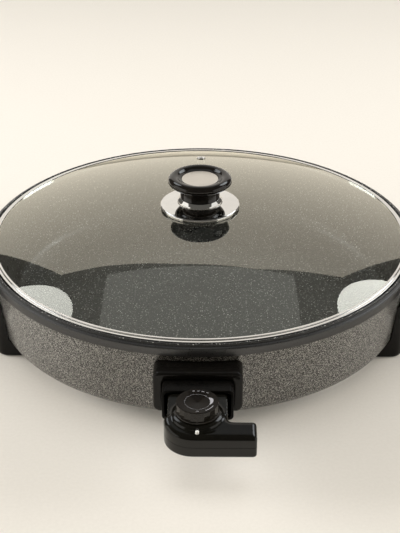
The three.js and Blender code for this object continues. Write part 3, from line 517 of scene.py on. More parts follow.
def non_stick():
    """Black coating with pale specks of two sizes."""
    made, mix = material("non_stick_coating")
    drift = mix.noise(24, 2)
    coarse_specks = mix.band(mix.cells(2.3), 0.18, 0.24, 1.0, 0.0)
    fine_specks = mix.band(mix.cells(1.6), 0.18, 0.26, 1.0, 0.0)
    chance = mix.band(mix.noise(3.4, 1), 0.4, 0.47)
    specks = 0.95 * coarse_specks * chance + 0.3 * fine_specks
    ground = mix.ramp(drift, (0.3, tone(0.007, 0.0072, 0.0074)), (0.7, tone(0.01, 0.0102, 0.0104)))
    mix.surface(
        {
            "Base Color": mix.mix(specks, ground, tone(0.55, 0.545, 0.52)),
            "Roughness": mix.band(drift, 0.3, 0.7, 0.25, 0.33),
            "Normal": mix.bump(mix.noise(0.8, 2), 0.012, 0.5),
        }
    )
    return made


def metal(name, colour, rough_low, rough_high, grain, stretch=(1, 1, 1), bump=0.01):
    """Bare or plated metal with a faint grain in its gloss."""
    made, mix = material(name)
    streaks = mix.noise(grain, 3, stretch)
    tint = mix.noise(12, 2)
    dim = tuple(0.95 * part for part in colour[:3]) + (1.0,)
    mix.surface(
        {
            "Base Color": mix.ramp(tint, (0.3, dim), (0.65, colour)),
            "Metallic": 1.0,
            "Roughness": mix.band(streaks, 0.3, 0.7, rough_low, rough_high),
            "Normal": mix.bump(streaks, bump, 0.5),
        }
    )
    return made


def plastic(name, dark, light, rough_low, rough_high, sheen=0.5, size=6.0, bump=0.003):
    """Moulded plastic with faint clouds and a little orange peel."""
    made, mix = material(name)
    clouds = mix.noise(size, 3)
    peel = mix.noise(1.4, 2)
    mix.surface(
        {
            "Base Color": mix.ramp(clouds, (0.3, dark), (0.7, light)),
            "Roughness": mix.band(mix.noise(3.5, 3), 0.3, 0.7, rough_low, rough_high),
            "Specular IOR Level": sheen,
            "Normal": mix.bump(peel, bump, 0.5),
        }
    )
    return made


def clear_glass(name, floor_gloss, rim_gloss):
    """Clear glass as a thin coat of reflection on what lies behind."""
    made, mix = material(name)
    facing = mix.node("ShaderNodeLayerWeight", None, {"Blend": 0.5}, "Facing")
    gloss = floor_gloss + rim_gloss * facing**3.45
    smear = mix.noise(9, 3)
    through = mix.node("ShaderNodeBsdfTransparent", None, {"Color": tone(0.955, 0.968, 0.958)})
    polish = mix.band(smear, 0.3, 0.7, 0.008, 0.016)
    shine = mix.node(
        "ShaderNodeBsdfGlossy", None, {"Color": tone(1, 0.965, 0.85), "Roughness": polish}
    )
    mix.end(mix.node("ShaderNodeMixShader", None, {0: gloss, 1: through, 2: shine}))
    return made


HAMMERTONE = hammertone()
RIM_COATING = band_paint()
NON_STICK = non_stick()
GLASS = clear_glass("clear_glass", 0.115, 1.3)
GLASS_INSIDE = clear_glass("clear_glass_inside", 0.012, 0.0)
CHROME = metal("chrome_plate", tone(0.84, 0.835, 0.82), 0.04, 0.08, 9, bump=0.0)
DISC = metal("brushed_disc", tone(0.8, 0.76, 0.7), 0.3, 0.42, 0.5, (0.12, 1, 1), 0.004)
ZINC = metal("zinc_plate", tone(0.62, 0.62, 0.6), 0.25, 0.38, 1.2)
BRASS = metal("brass_sheet", tone(0.7, 0.55, 0.28), 0.25, 0.4, 1.0, (0.2, 1, 1))
SHEATH = metal("element_sheath", tone(0.16, 0.15, 0.14), 0.42, 0.6, 1.6, bump=0.02)
BAKELITE = plastic(
    "bakelite", tone(0.004, 0.0036, 0.0033), tone(0.0068, 0.006, 0.005), 0.13, 0.2, 0.2
)
KNOB = plastic("knob_moulding", tone(0.004, 0.003, 0.0025), tone(0.008, 0.006, 0.0045), 0.06, 0.1)
CONTROL = plastic(
    "control_moulding", tone(0.003, 0.0027, 0.0018), tone(0.005, 0.0045, 0.003), 0.1, 0.15, 0.33
)
DIAL = plastic(
    "dial_moulding", tone(0.008, 0.007, 0.0055), tone(0.014, 0.012, 0.0095), 0.06, 0.1, 0.3
)
# Darker, less glossy copy of the dial's plastic for its upward faces: painted shade on the dial's
# top.
DIAL_TOP_SHADE = plastic(
    "dial_top_painted_shade", tone(0.003, 0.0024, 0.0018), tone(0.007, 0.005, 0.0036), 0.06, 0.1, 0.08
)
SLEEVE = plastic(
    "socket_moulding", tone(0.003, 0.0028, 0.0026), tone(0.0055, 0.005, 0.0045), 0.16, 0.24, 0.06
)
RUBBER = plastic("foot_rubber", tone(0.022, 0.022, 0.022), tone(0.035, 0.035, 0.035), 0.6, 0.8)
CERAMIC = plastic("pressed_ceramic", tone(0.62, 0.57, 0.49), tone(0.76, 0.71, 0.63), 0.5, 0.7)
PRINT = plastic("pale_print", tone(0.3, 0.3, 0.33), tone(0.38, 0.38, 0.41), 0.35, 0.5)
LENS = plastic("lamp_lens", tone(0.7, 0.7, 0.67), tone(0.85, 0.85, 0.82), 0.1, 0.2)


# Camera, floor and light


def aim(made, place, target):
    """Places a camera or a lamp and turns it towards a point."""
    made.location = place
    line = Vector(target) - Vector(place)
    made.rotation_mode = "QUATERNION"
    made.rotation_quaternion = line.to_track_quat("-Z", "Y")


def camera():
    """Camera of the photo."""
    made = placed("camera", bpy.data.cameras.new("camera"))
    made.data.lens = VIEW_LENS
    made.data.sensor_width = FILM_WIDTH
    place = (
        VIEW_DISTANCE * math.sin(VIEW_TURN),
        PAN_AXIS[1] * MM - VIEW_DISTANCE * math.cos(VIEW_TURN),
        VIEW_HEIGHT,
    )
    aim(made, place, VIEW_TARGET)
    bpy.context.scene.camera = made


def lamp(name, shape, size, place, target, power, colour):
    """A soft studio lamp turned towards a point."""
    data = bpy.data.lights.new(name, "AREA")
    data.shape = shape
    data.size, data.size_y = size
    data.energy = power
    data.color = colour
    made = placed(name, data)
    aim(made, place, target)
    made.visible_camera = False
    return made


def card(name, colour):
    """A plain glowing card that shows in glass and metal."""
    made, mix = material(name)
    tint = mix.ramp(mix.noise(300, 1), (0.3, colour), (0.7, tuple(0.97 * c for c in colour)))
    mix.end(mix.node("ShaderNodeEmission", None, {"Color": tint, "Strength": 1.0}))
    return made


def floor_paper():
    """Pale paper with a faint glow of its own for the camera."""
    made, mix = material("floor_paper")
    fibre = mix.noise(3, 3)
    paper = mix.ramp(fibre, (0.3, tone(0.775, 0.745, 0.7)), (0.7, tone(0.805, 0.775, 0.73)))
    lit = mix.node("ShaderNodeBsdfDiffuse", None, {"Color": paper, "Roughness": 0.5})
    glow = mix.node("ShaderNodeEmission", None, {"Color": tone(0.885, 0.85, 0.76)})
    seen = mix.node("ShaderNodeLightPath", output="Is Camera Ray")
    mix.end(mix.node("ShaderNodeMixShader", None, {0: seen * FLOOR_GLOW, 1: lit, 2: glow}))
    return made


def backdrop_paper():
    """Glowing paper, bright where glass or metal mirrors it and dim elsewhere."""
    made, mix = material("backdrop_paper")
    across = mix.node("ShaderNodeSeparateXYZ", None, {0: mix.place()}, "X")
    shade = mix.ramp(
        mix.band(across, -1500, 1500), (0.0, tone(1.0, 0.95, 0.87)), (1.0, tone(0.9, 0.85, 0.78))
    )
    bright = mix.node("ShaderNodeEmission", None, {"Color": shade, "Strength": 0.95})
    dim = mix.node("ShaderNodeEmission", None, {"Color": shade, "Strength": 0.3})
    mirrored = mix.node("ShaderNodeLightPath", output="Is Glossy Ray")
    mix.end(mix.node("ShaderNodeMixShader", None, {0: mirrored, 1: dim, 2: bright}))
    return made


def stage_piece(name, finish, corners):
    """One flat piece of the studio."""
    made = solid(name, sheet(*corners))
    made.data.materials.append(finish)
    return made


def stage():
    """Floor, backdrop, and three cards that only glass and metal show."""
    floor = stage_piece("floor", floor_paper(), [(x, y, 0) for x, y in FLOOR])
    backdrop = stage_piece(
        "backdrop", backdrop_paper(), [(x, BACKDROP_DISTANCE, z) for x, z in BACKDROP]
    )
    ceiling = stage_piece(
        "ceiling_panel",
        card("ceiling_card", tone(0.42, 0.43, 0.43)),
        [(x, y, CEILING_HEIGHT) for x, y in CEILING],
    )
    left = stage_piece(
        "left_panel",
        card("left_card", tone(1.12, 1.09, 1.03)),
        [(-PANEL_DISTANCE, y, z) for y, z in SIDE_PANEL],
    )
    right = stage_piece(
        "right_panel",
        card("right_card", tone(0.95, 0.93, 0.88)),
        [(PANEL_DISTANCE, y, z) for y, z in SIDE_PANEL],
    )
    for panel in (ceiling, left, right):
        panel.visible_camera = False


def lamps():
    """Two round lamps that only glass and metal show, and three soft ones that only light."""
    lid = (0, 0.04, 0.08)
    sky = (0.93, 0.97, 1.0)
    cool = (0.96, 0.98, 1.0)
    warm = (1, 0.98, 0.95)
    round_lamps = (
        lamp("lamp_left", "DISK", (1.12, 1.12), (-1.62, 1.64, 2.33), lid, 9.6, sky),
        lamp("lamp_right", "DISK", (1.2, 1.2), (1.65, 1.64, 2.12), lid, 14, sky),
    )
    overhead = lamp("lamp_overhead", "RECTANGLE", (2.6, 2.0), (0, 0, 2.9), lid, 29, cool)
    softboxes = (
        lamp("softbox_left", "RECTANGLE", (1.8, 0.9), (-2.3, 0.5, 0.8), lid, 20, warm),
        lamp("softbox_right", "RECTANGLE", (1.8, 0.9), (2.3, 0.5, 0.8), lid, 13, warm),
    )
    for made in round_lamps:
        made.visible_diffuse = False
    for made in (overhead, *softboxes):
        made.visible_glossy = False
    for made in softboxes:
        made.data.spread = math.radians(SOFTBOX_SPREAD)


def surroundings():
    """Dim warm light from all round, darker in gloss and pale for the camera."""
    world = bpy.data.worlds.new("studio")
    bpy.context.scene.world = world
    mix = Recipe(world)
    rays = "ShaderNodeLightPath"
    camera_ray = mix.node(rays, output="Is Camera Ray")
    glossy_ray = mix.node(rays, output="Is Glossy Ray")
    plain = mix.mix(glossy_ray, tone(0.27, 0.235, 0.17), tone(0.105, 0.1, 0.09))
    shown = mix.mix(camera_ray, plain, tone(0.88, 0.86, 0.78))
    background = mix.node("ShaderNodeBackground", None, {"Color": shown, "Strength": 1.0})
    mix.end(background, "ShaderNodeOutputWorld")
    bpy.context.scene.view_settings.view_transform = "Standard"


# Pan and casing


def casing_radius(height):
    """Radius of the casing's outer face at a height."""
    low = CASING_CENTRE[1]
    share = (height - low) / (CASING_TOP - low)
    return CASING_LOW_RADIUS + (CASING_TOP_RADIUS - CASING_LOW_RADIUS) * share


def casing_space(gap, floor_gap):
    """The space of the casing, grown by a gap."""
    x, z = CASING_CENTRE
    bend = [
        (x + (CASING_CORNER + gap) * math.cos(t), z + (CASING_CORNER + floor_gap) * math.sin(t))
        for t in (math.radians(-90 + 90 * k / 12) for k in range(13))
    ]
    top = RIM_HEIGHT + 10
    return lathe([(0, BASE_HEIGHT - floor_gap), *bend, (casing_radius(top) + gap, top), (0, top)])


def pan():
    """Inner pan with its ledge, lip, rim and the band folded over the casing."""
    corner = (174.5, 38.7)
    outline = [
        (0, COOKING_HEIGHT),
        *arc(corner, 13, -90, -3.35, 10),
        *softened(
            [(197.9, 83.4), (199, LEDGE_HEIGHT, 1.1), (204.2, LEDGE_HEIGHT, 0.5),
             (204.2, LIP_HEIGHT, 0.8), (206.4, LIP_HEIGHT, 0.8), (206.4, RIM_HEIGHT, 0.6),
             (RIM_RADIUS, RIM_HEIGHT, 1.4), (RIM_RADIUS, 80, 0.4), (207.1, 80), (207.1, 85.1),
             (205.5, 85.1), (205.15, 81.5), (202, 81.5)]
        ),
        *arc(corner, 16, -3.35, -90, 10),
        (8, 22.7), (8, 12.8), (3, 12.8), (3, 4.5), (0, 4.5),
    ]
    made = solid("pan_inner", lathe(outline, 288), PAN_AXIS)
    dress(made, "base", NON_STICK, ["pan"])

    def outside(face):
        x, y, _ = face.center
        return math.hypot(x, y - PAN_AXIS[1] * MM) / MM > 206.2

    finish_faces(made, RIM_COATING, outside)


def casing():
    """Pressed outer wall."""
    x, z = CASING_CENTRE
    outline = [
        (3.3, BASE_HEIGHT),
        *arc((x, z), CASING_CORNER, -90, 0, 10),
        (CASING_TOP_RADIUS, CASING_TOP),
        (CASING_TOP_RADIUS - 1, CASING_TOP),
        *arc((x, z), CASING_CORNER - 1, 0, -90, 10),
        (3.3, BASE_HEIGHT + 1),
    ]
    made = solid("casing_wall", lathe(outline, 288), PAN_AXIS)
    hole = rounded_rectangle(*PLATE_HOLE)
    through = (-187, -HOUSING_FRONT)
    combine(made, loft([[(u, y, w) for u, w in hole] for y in through]), at=PAN_AXIS)
    for side in (-1, 1):
        ends = [(side * SOCKET_SCREW_REACH, y, SOCKET_HEIGHT) for y in through]
        combine(made, rod(1.8, *ends), at=PAN_AXIS)
        for end in (-1, 1):
            place = (side * HANDLE_SCREW[0], end * HANDLE_SCREW[1])
            combine(made, rod(2.3, (*place, 0), (*place, 18.5)), at=PAN_AXIS)
    dress(made, "base", HAMMERTONE, ["outer_casing"], 50)


# Socket


def against_casing(x, z, gap):
    """How far towards the front the casing's face lies at a point."""
    return -math.sqrt((casing_radius(z) + gap) ** 2 - x * x)


def frame_rings(outer, front, edge, inner, edge_inner, steps=4):
    """Rings of a moulded frame: up its outside, round the front and down its hole."""
    width, height, corner, middle = outer
    rings = [[(x, against_casing(x, z, FIT), z) for x, z in rounded_rectangle(*outer)]]
    for k in range(steps + 1):
        angle = math.pi / 2 * k / steps
        inset = edge * (1 - math.cos(angle))
        shape = rounded_rectangle(width - 2 * inset, height - 2 * inset, corner - inset, middle)
        rings.append([(x, -front + edge * (1 - math.sin(angle)), z) for x, z in shape])
    width, height, corner, middle = inner
    for k in range(steps + 1):
        angle = math.pi / 2 * k / steps
        inset = edge_inner * (1 - math.sin(angle))
        shape = rounded_rectangle(width + 2 * inset, height + 2 * inset, corner + inset, middle)
        rings.append([(x, -front + edge_inner * (1 - math.cos(angle)), z) for x, z in shape])
    return rings


def socket_housing():
    """Moulded frame on the front of the casing."""
    pocket = (60, 29.8, 4, SOCKET_HEIGHT)
    rings = frame_rings((75.2, 38.5, 6, HOUSING_MIDDLE), HOUSING_FRONT, 2.4, pocket, 0.8)
    rings.append([(x, against_casing(x, z, FIT), z) for x, z in rounded_rectangle(*pocket)])
    made = solid("housing_frame", loft(rings, closed=True), PAN_AXIS)
    for side in (-1, 1):
        ends = [(side * SOCKET_SCREW_REACH, y, SOCKET_HEIGHT) for y in (-187, -219.4)]
        combine(made, rod(1.8, *ends), at=PAN_AXIS)
    dress(made, "base", BAKELITE, ["socket_housing"])


def socket_sleeve():
    """Sleeve that the control plugs into, with its back plate."""
    inside = (54.4, 24.2, 2.75, SOCKET_HEIGHT)
    rings = frame_rings((59.4, 29.2, 4, SOCKET_HEIGHT), SLEEVE_FRONT, 0.7, inside, 0.5)
    rings.append([(x, -SLEEVE_PLATE, z) for x, z in rounded_rectangle(*inside)])
    rings.append([(x, -SLEEVE_PLATE, z) for x, z in rounded_rectangle(*PLATE_HOLE)])
    rings.append([(x, against_casing(x, z, FIT), z) for x, z in rounded_rectangle(*PLATE_HOLE)])
    made = solid("plug_sleeve", loft(rings, closed=True), PAN_AXIS)
    dress(made, "base", SLEEVE, ["socket_sleeve"])


# Side handles


def handle_outline(reach, corner):
    """Plan of the grip or of the legs, as a function of the inset."""

    def outline(inset):
        x, y = reach - corner, HANDLE_SIDE - corner
        radius = corner - inset
        return [
            (HANDLE_ROOT + inset, inset - HANDLE_SIDE),
            *arc((x, -y), radius, -90, 0, 12),
            *arc((x, y), radius, 0, 90, 12),
            (HANDLE_ROOT + inset, HANDLE_SIDE - inset),
        ]

    return outline


def handle(name, side, node):
    """Grip bar between two legs whose toes run in under the casing."""
    post = slab(handle_outline(LEG_REACH, 12), LEG_FOOT, 56, (1.5, 1.5), (1.5, 1.5))
    grip = slab(handle_outline(HANDLE_REACH, 42), 38, HANDLE_TOP, (7, 7), (7, 7))
    legs = solid(name, post)
    combine(legs, block((0, -60, 0), (HANDLE_REACH, 60, 42)))
    combine(legs, grip, "UNION")
    finger = [(0, -60), *arc((224, -46), 14, -90, 0, 12), *arc((224, 46), 14, 0, 90, 12), (0, 60)]
    combine(legs, loft([[(x, y, z) for x, y in finger] for z in (-1, 88)]))
    moulded(legs, 1.0, 6)
    combine(legs, casing_space(1.2, FIT))
    combine(legs, block((100, -100, -5), (300, 100, LEG_FOOT)))
    for end in (-1, 1):
        screw = (HANDLE_SCREW[0], end * HANDLE_SCREW[1])
        pad = (FOOT_PAD[0], end * FOOT_PAD[1])
        combine(legs, rod(2.3, (*screw, -1), (*screw, BASE_HEIGHT + 2)))
        combine(legs, rod(4.3, (*screw, -1), (*screw, 6.4)))
        combine(legs, rod(7.8, (*pad, -1), (*pad, 3)))
        combine(legs, rod(2.8, (*pad, 2), (*pad, 8.3)))
    place = Matrix.Translation(Vector(PAN_AXIS) * MM) @ Matrix.Rotation(
        0 if side > 0 else math.pi, 4, "Z"
    )
    legs.data.transform(place)
    dress(legs, "base", BAKELITE, [node], 40)


# Lid


def dome(radius, height=CROWN):
    """Height of a dome of the glass's curve at a radius."""
    return height - DOME_RADIUS + math.sqrt(DOME_RADIUS**2 - radius**2)


def dome_line(start, end, height, steps=36):
    """Points along the dome from one radius to another."""
    radii = [start + (end - start) * k / steps for k in range(steps + 1)]
    return [(radius, dome(radius, height)) for radius in radii]


VENT_TILT = math.asin(VENT_REACH / DOME_RADIUS)


def vent_place(distance):
    """A point on the vent's axis, at a distance above the glass."""
    height = dome(VENT_REACH)
    return (
        0,
        VENT_REACH + distance * math.sin(VENT_TILT),
        height + distance * math.cos(VENT_TILT),
    )


def lid_glass():
    """Domed glass with holes for the knob's screw and the vent."""
    outline = [
        *dome_line(GLASS_BORE, GLASS_RADIUS, CROWN - GLASS_THICKNESS),
        *dome_line(GLASS_RADIUS, GLASS_BORE, CROWN),
    ]
    made = solid("glass_dome", lathe(outline, 256), PAN_AXIS)
    combine(made, rod(3.2, vent_place(-10), vent_place(10)), at=PAN_AXIS)
    dress(made, "lid", GLASS, ["lid_glass"], 30)
    finish_faces(made, GLASS_INSIDE, lambda face: face.normal.z < 0)


def lid_band():
    """Bright hoop round the edge of the glass."""
    inner, reach = 196.5, 199.8

    def over(radius):
        return dome(radius) + FIT

    def under(radius):
        return dome(radius) - GLASS_THICKNESS - FIT

    low = SEAT_HEIGHT
    outline = softened(
        [
            (inner, low), (201, low, 0.5), (202.8, low + 1.5, 1), (202.75, low + 5.15, 0.4),
            (200.35, low + 5.22, 0.2), (200, low + 4.7), (199.65, low + 6.05, 0.2),
            (197.8, low + 6.2, 0.1), (197.7, over(197.7)), (reach, over(reach)),
            (reach, under(reach)), (inner, under(inner)),
        ],
        8,
    )
    made = solid("glass_hoop", lathe(outline, 288), PAN_AXIS)
    dress(made, "lid", CHROME, ["lid_band"], 40)


def vent():
    """Eyelet in the steam vent, rolled over the glass."""
    low = -GLASS_THICKNESS - FIT
    outline = softened(
        [
            (1.7, low - 0.8, 0.3), (4.8, low - 0.8, 0.4), (4.8, low), (2.9, low), (2.9, FIT),
            (4.8, FIT, 0.1), (4.6, FIT + 0.8, 0.7), (1.7, FIT + 0.8, 0.6),
        ]
    )
    points, faces = lathe(outline, 64)
    turn = Matrix.Rotation(-VENT_TILT, 3, "X")
    points = [tuple(turn @ Vector(point) + Vector(vent_place(0))) for point in points]
    made = solid("vent_eyelet", (points, faces), PAN_AXIS)
    dress(made, "lid", CHROME, ["vent_grommet"], 40)


def knob_flange():
    """Polished dish on the glass under the knob."""
    outline = softened(
        [
            (2.3, dome(2.3) + FIT),
            (14, dome(14) + FIT),
            (15.2, CROWN + 3.0, 1),
            (37.2, CROWN + 1.2),
            (37.2, dome(37.2) + FIT),
            (38.4, dome(38.4) + FIT, 0.2),
            (38.4, CROWN + 2.4, 1.5),
            (22.2, CROWN + 5.4, 4),
            (2.3, CROWN + 5.4),
        ],
        6,
    )
    made = solid("knob_dish", lathe(outline, 192), PAN_AXIS)
    dress(made, "lid", CHROME, ["knob_flange"], 40)


def knob_collar():
    """Chrome ring that narrows upwards, between the disc and the knob."""
    low = CROWN + 5.7
    outline = softened(
        [(2.3, low), (22, low, 0.2), (21.6, low + 1.4, 2), (19.4, low + 4.3, 0.3), (2.3, low + 4.3)],
        8,
    )
    made = solid("knob_ring", lathe(outline, 160), PAN_AXIS)
    dress(made, "lid", CHROME, ["knob_collar"], 40)


def smooth_line(points, steps=5):
    """A curve through points, as short straight steps."""
    line = []
    for k in range(len(points) - 1):
        first = Vector(points[max(k - 1, 0)])
        start = Vector(points[k])
        end = Vector(points[k + 1])
        last = Vector(points[min(k + 2, len(points) - 1)])
        for step in range(steps):
            t = step / steps
            place = (
                start * 2
                + (end - first) * t
                + (first * 2 - start * 5 + end * 4 - last) * t * t
                + (start * 3 - first - end * 3 + last) * t**3
            )
            line.append(tuple(place / 2))
    line.append(tuple(points[-1]))
    return line


def lid_knob():
    """Mushroom knob with a waist and a recess for its disc."""
    radius_shares = (0.62, 0.63, 0.66, 0.8, 0.91, 0.98, 1, 0.98, 0.92, 0.84, 0.75, 0.67)
    height_shares = (0, 0.3, 0.52, 0.57, 0.61, 0.69, 0.78, 0.88, 0.96, 1, 0.98, 0.91)
    outside = [
        (r * KNOB_RADIUS, KNOB_FOOT + h * KNOB_HEIGHT)
        for r, h in zip(radius_shares, height_shares)
    ]
    recess = KNOB_DISC_TOP - 1 - FIT
    screw_top = recess - 3.1
    outline = [
        *smooth_line(outside),
        (17.9, KNOB_FOOT + KNOB_HEIGHT - 2.7),
        (17.9, recess), (0, recess), (0, screw_top), (2.3, screw_top), (2.3, KNOB_FOOT),
    ]
    made = solid("knob_grip", lathe(outline, 160), PAN_AXIS)
    dress(made, "lid", KNOB, ["lid_knob"], 40)


def knob_disc():
    """Brushed disc let into the knob's top."""
    top = KNOB_DISC_TOP
    outline = softened([(0, top - 1), (17.6, top - 1), (17.6, top, 0.4), (0, top)], 5)
    made = solid("knob_disc", lathe(outline, 128), PAN_AXIS)
    dress(made, "lid", DISC, ["knob_insert"], 40)


# Control


def body_outline(inset, steps=8):
    """Plan of the control's body with its arm to the right."""
    half = NECK_WIDTH / 2 - inset
    left = inset - BODY_LEFT
    back = -MOUTH_GAP - inset
    front = inset - BODY_DEPTH
    end = ARM_REACH - inset
    shoulder = ARM_DEPTH - BODY_DEPTH - inset
    corner, tip = max(0.2, 3.5 - inset), max(0.2, 3 - inset)
    sweep, fillet = 24 - inset, 4 + inset
    return [
        *arc((half - corner, back - corner), corner, 90, 0, steps),
        *arc((half + fillet, shoulder + fillet), fillet, 180, 270, steps),
        *arc((end - tip, shoulder - tip), tip, 90, 0, steps),
        *arc((end - tip, front + tip), tip, 0, -90, steps),
        *arc((left + sweep, front + sweep), sweep, 270, 180, 3 * steps),
        (-half, front + sweep + 4),
        *arc((corner - half, back - corner), corner, 180, 90, steps),
    ]


def upright_shape(inset, low, high, low_round=(0, 0), high_round=(0, 0)):
    """The body's plan stood up, with its top falling away to the front."""
    points, faces = slab(lambda more: body_outline(inset + more), low, high, low_round, high_round)
    lean = [
        (x, y, z - TOP_SLOPE * max(0, SLOPE_START - y) if z > 0 else z) for x, y, z in points
    ]
    return lean, faces


def forward(shape, reach):
    """A shape moved towards the front."""
    points, faces = shape
    return [(x, y - reach, z) for x, y, z in points], faces


def rounded_bar(width, height, corner, start, end):
    """A bar with round corners along Y."""
    outline = rounded_rectangle(width, height, corner)
    return loft([[(x, y, z) for x, z in outline] for y in (start, end)])


def control_case():
    """The whole case, run together and hollowed, before it is split at the seam."""
    half = NECK_WIDTH / 2
    case = solid("case", upright_shape(0, -BODY_DROP, CREST, (0.8, 0.8), (5, 3.6)))
    flare = [
        (0, 0), (21.4, 0), (21.4, 8.5), (20.3, 9.3), (18.8, 10), (17.2, TURRET_RISE),
        (0, TURRET_RISE),
    ]
    combine(case, forward(lathe(flare, SMALL_STEPS), DIAL_REACH), "UNION")
    back = [
        [(-half, y, 0), (half, y, 0), (half, y, top), (-half, y, top)]
        for y, top in ((-DIAL_REACH, NECK_DIP), (0, TURRET_RISE))
    ]
    combine(case, loft(back), "UNION")
    neck = rounded_bar(NECK_WIDTH, NECK_HEIGHT, 3.5, NECK_LENGTH, -MOUTH_GAP - WALL)
    combine(case, neck, "UNION")
    combine(case, block((-50, -DIAL_REACH, TURRET_RISE), (50, -MOUTH_GAP, 30)))
    moulded(case, 0.45, 40)
    combine(case, upright_shape(WALL, WALL - BODY_DROP, BODY_RISE - WALL))
    room, ceiling = TURRET_TOP - WALL, TURRET_RISE - WALL
    turret = [(0, 0), (room, 0), (room, ceiling), (0, ceiling)]
    combine(case, forward(lathe(turret, SMALL_STEPS), DIAL_REACH))
    passage = block((WALL - half, -DIAL_REACH, WALL - NECK_HEIGHT / 2), (half - WALL, 3.5, ceiling))
    combine(case, passage)
    inner = rounded_bar(
        NECK_WIDTH - 2 * WALL, NECK_HEIGHT - 2 * WALL, 1.5, NECK_LENGTH - WALL, WALL - MOUTH_GAP
    )
    combine(case, inner)
    front = -MOUTH_GAP - 3.5
    for x, z, radius in ((-14, 0, 3.1), (14, 0, 3.1), (0, -6, 2.6), (0, 2.5, 2.8)):
        combine(case, rod(radius, (x, front, z), (x, NECK_LENGTH + 10, z)))
    combine(case, rod(3.3, (0, -DIAL_REACH, 0), (0, -DIAL_REACH, 20)))
    combine(case, rod(2.0, (0, -LENS_REACH, 0), (0, -LENS_REACH, 20)))
    middle = (BODY_RISE - BODY_DROP) / 2
    inlet = [(x, ARM_DEPTH / 2 - BODY_DEPTH, middle) for x in (ARM_REACH - 12, ARM_REACH + 10)]
    combine(case, rod(6.3, *inlet))
    return case


def control_shells():
    """Upper and lower shell with their screw bosses."""
    upper = control_case()
    upper.name = "case_upper"
    lower = placed("case_lower", upper.data.copy())
    gap = FIT / 2
    combine(upper, block((-80, -80, SEAM + gap), (80, 60, 40)), "INTERSECT")
    combine(lower, block((-80, -80, -40), (80, 60, SEAM - gap)), "INTERSECT")
    for side in (-1, 1):
        x, y = side * 20, -13
        combine(upper, rod(3.2, (x, y, SEAM + gap), (x, y, BODY_RISE - WALL / 2)), "UNION")
        combine(upper, rod(1.5, (x, y, -BODY_DROP), (x, y, BODY_RISE - WALL - FIT)))
        combine(lower, rod(4.7, (x, y, WALL / 2 - BODY_DROP), (x, y, SEAM - gap)), "UNION")
        combine(lower, rod(1.8, (x, y, 2.1 - BODY_DROP), (x, y, 0)))
        combine(lower, rod(3.3, (x, y, -BODY_DROP - 10), (x, y, 2.4 - BODY_DROP)))
    for piece, node in ((upper, "control_upper_shell"), (lower, "control_lower_shell")):
        piece.data.transform(Matrix.Translation(Vector(PLUG) * MM))
        dress(piece, "control", CONTROL, [node], 55)


def index_lens():
    """Small white mark in front of the dial."""
    outline = softened([(0, 4.8), (1.7, 4.8), (1.7, 5.4), (1.5, 5.6), (1.5, 7.9, 1), (0, 8.5)], 6)
    made = solid("index_mark", forward(lathe(outline, 48), LENS_REACH), PLUG)
    dress(made, "control", LENS, ["index_lens"], 40)


def cord_bush():
    """Flanged bush in the cord inlet."""
    inside = ARM_REACH - WALL - FIT
    outline = softened(
        [
            (3.75, inside - 4), (6.4, inside - 4), (6.4, inside), (6, inside),
            (6, ARM_REACH, 0.4), (3.75, ARM_REACH, 0.8),
        ]
    )
    points, faces = lathe(outline, 64)
    y, z = ARM_DEPTH / 2 - BODY_DEPTH, (BODY_RISE - BODY_DROP) / 2
    made = solid("cord_bush", ([(c, a + y, b + z) for a, b, c in points], faces), PLUG)
    dress(made, "control", RUBBER, ["cord_grommet"], 40)


# Dial

DIAL_FOOT = TURRET_RISE + 1.7 + 2 * FIT
DIAL_TOP = DIAL_FOOT + DIAL_HEIGHT
DIAL_AT = (PLUG[0], PLUG[1] - DIAL_REACH, PLUG[2])


def dish(radius):
    """Height of the dial's dished top."""
    return DIAL_TOP - DIAL_DISH * max(0, 1 - radius / 16)


def facets(radius, hollow=0.0, steps=4):
    """Outline of the dial: a shallow hollow on each side, with a ridge between two."""
    points = []
    for k in range(DIAL_SIDES * steps):
        across = (k % steps) / steps
        angle = math.radians(360 * k / DIAL_SIDES / steps)
        reach = radius - hollow * math.sin(math.pi * across)
        points.append((reach * math.cos(angle), reach * math.sin(angle)))
    return points


def dial_knob():
    """Faceted dial with a shallow round dish in its top."""
    bore_top = DIAL_FOOT + 6.3
    rings = [[(0, 0, bore_top)]]
    for radius, height in ((3.3, bore_top), (3.3, DIAL_FOOT)):
        rings.append([(radius * x, radius * y, height) for x, y in facets(1)])
    for radius, height in softened(
        [
            (DIAL_RADIUS - 0.5, DIAL_FOOT), (DIAL_RADIUS, DIAL_FOOT, 0.3),
            (DIAL_RADIUS - 0.1, DIAL_TOP, 0.9), (DIAL_RADIUS - 1.2, DIAL_TOP),
        ],
        8,
    ):
        rings.append([(x, y, height) for x, y in facets(radius, DIAL_HOLLOW)])
    for radius in (15.9, 12, 8, 4, 1):
        rings.append([(x, y, dish(radius)) for x, y in facets(radius)])
    rings.append([(0, 0, dish(0))])
    made = solid("dial_grip", loft(rings, closed=True), DIAL_AT)
    dress(made, "dial", DIAL, ["dial_knob"], 12)
    # The upward faces take the darker copy, painted shade on the dial's top; the sides keep the
    # lighter plastic.
    finish_faces(made, DIAL_TOP_SHADE, lambda face: face.normal.z > 0.8)


def dial_ring():
    """Thin ring below the dial."""
    low = TURRET_RISE + FIT
    outline = softened([(3.3, low), (17.9, low, 0.3), (17.9, low + 1.7, 0.6), (3.3, low + 1.7)])
    made = solid("dial_ring", lathe(outline, SMALL_STEPS), DIAL_AT)
    dress(made, "dial", DIAL, ["dial_skirt"], 40)


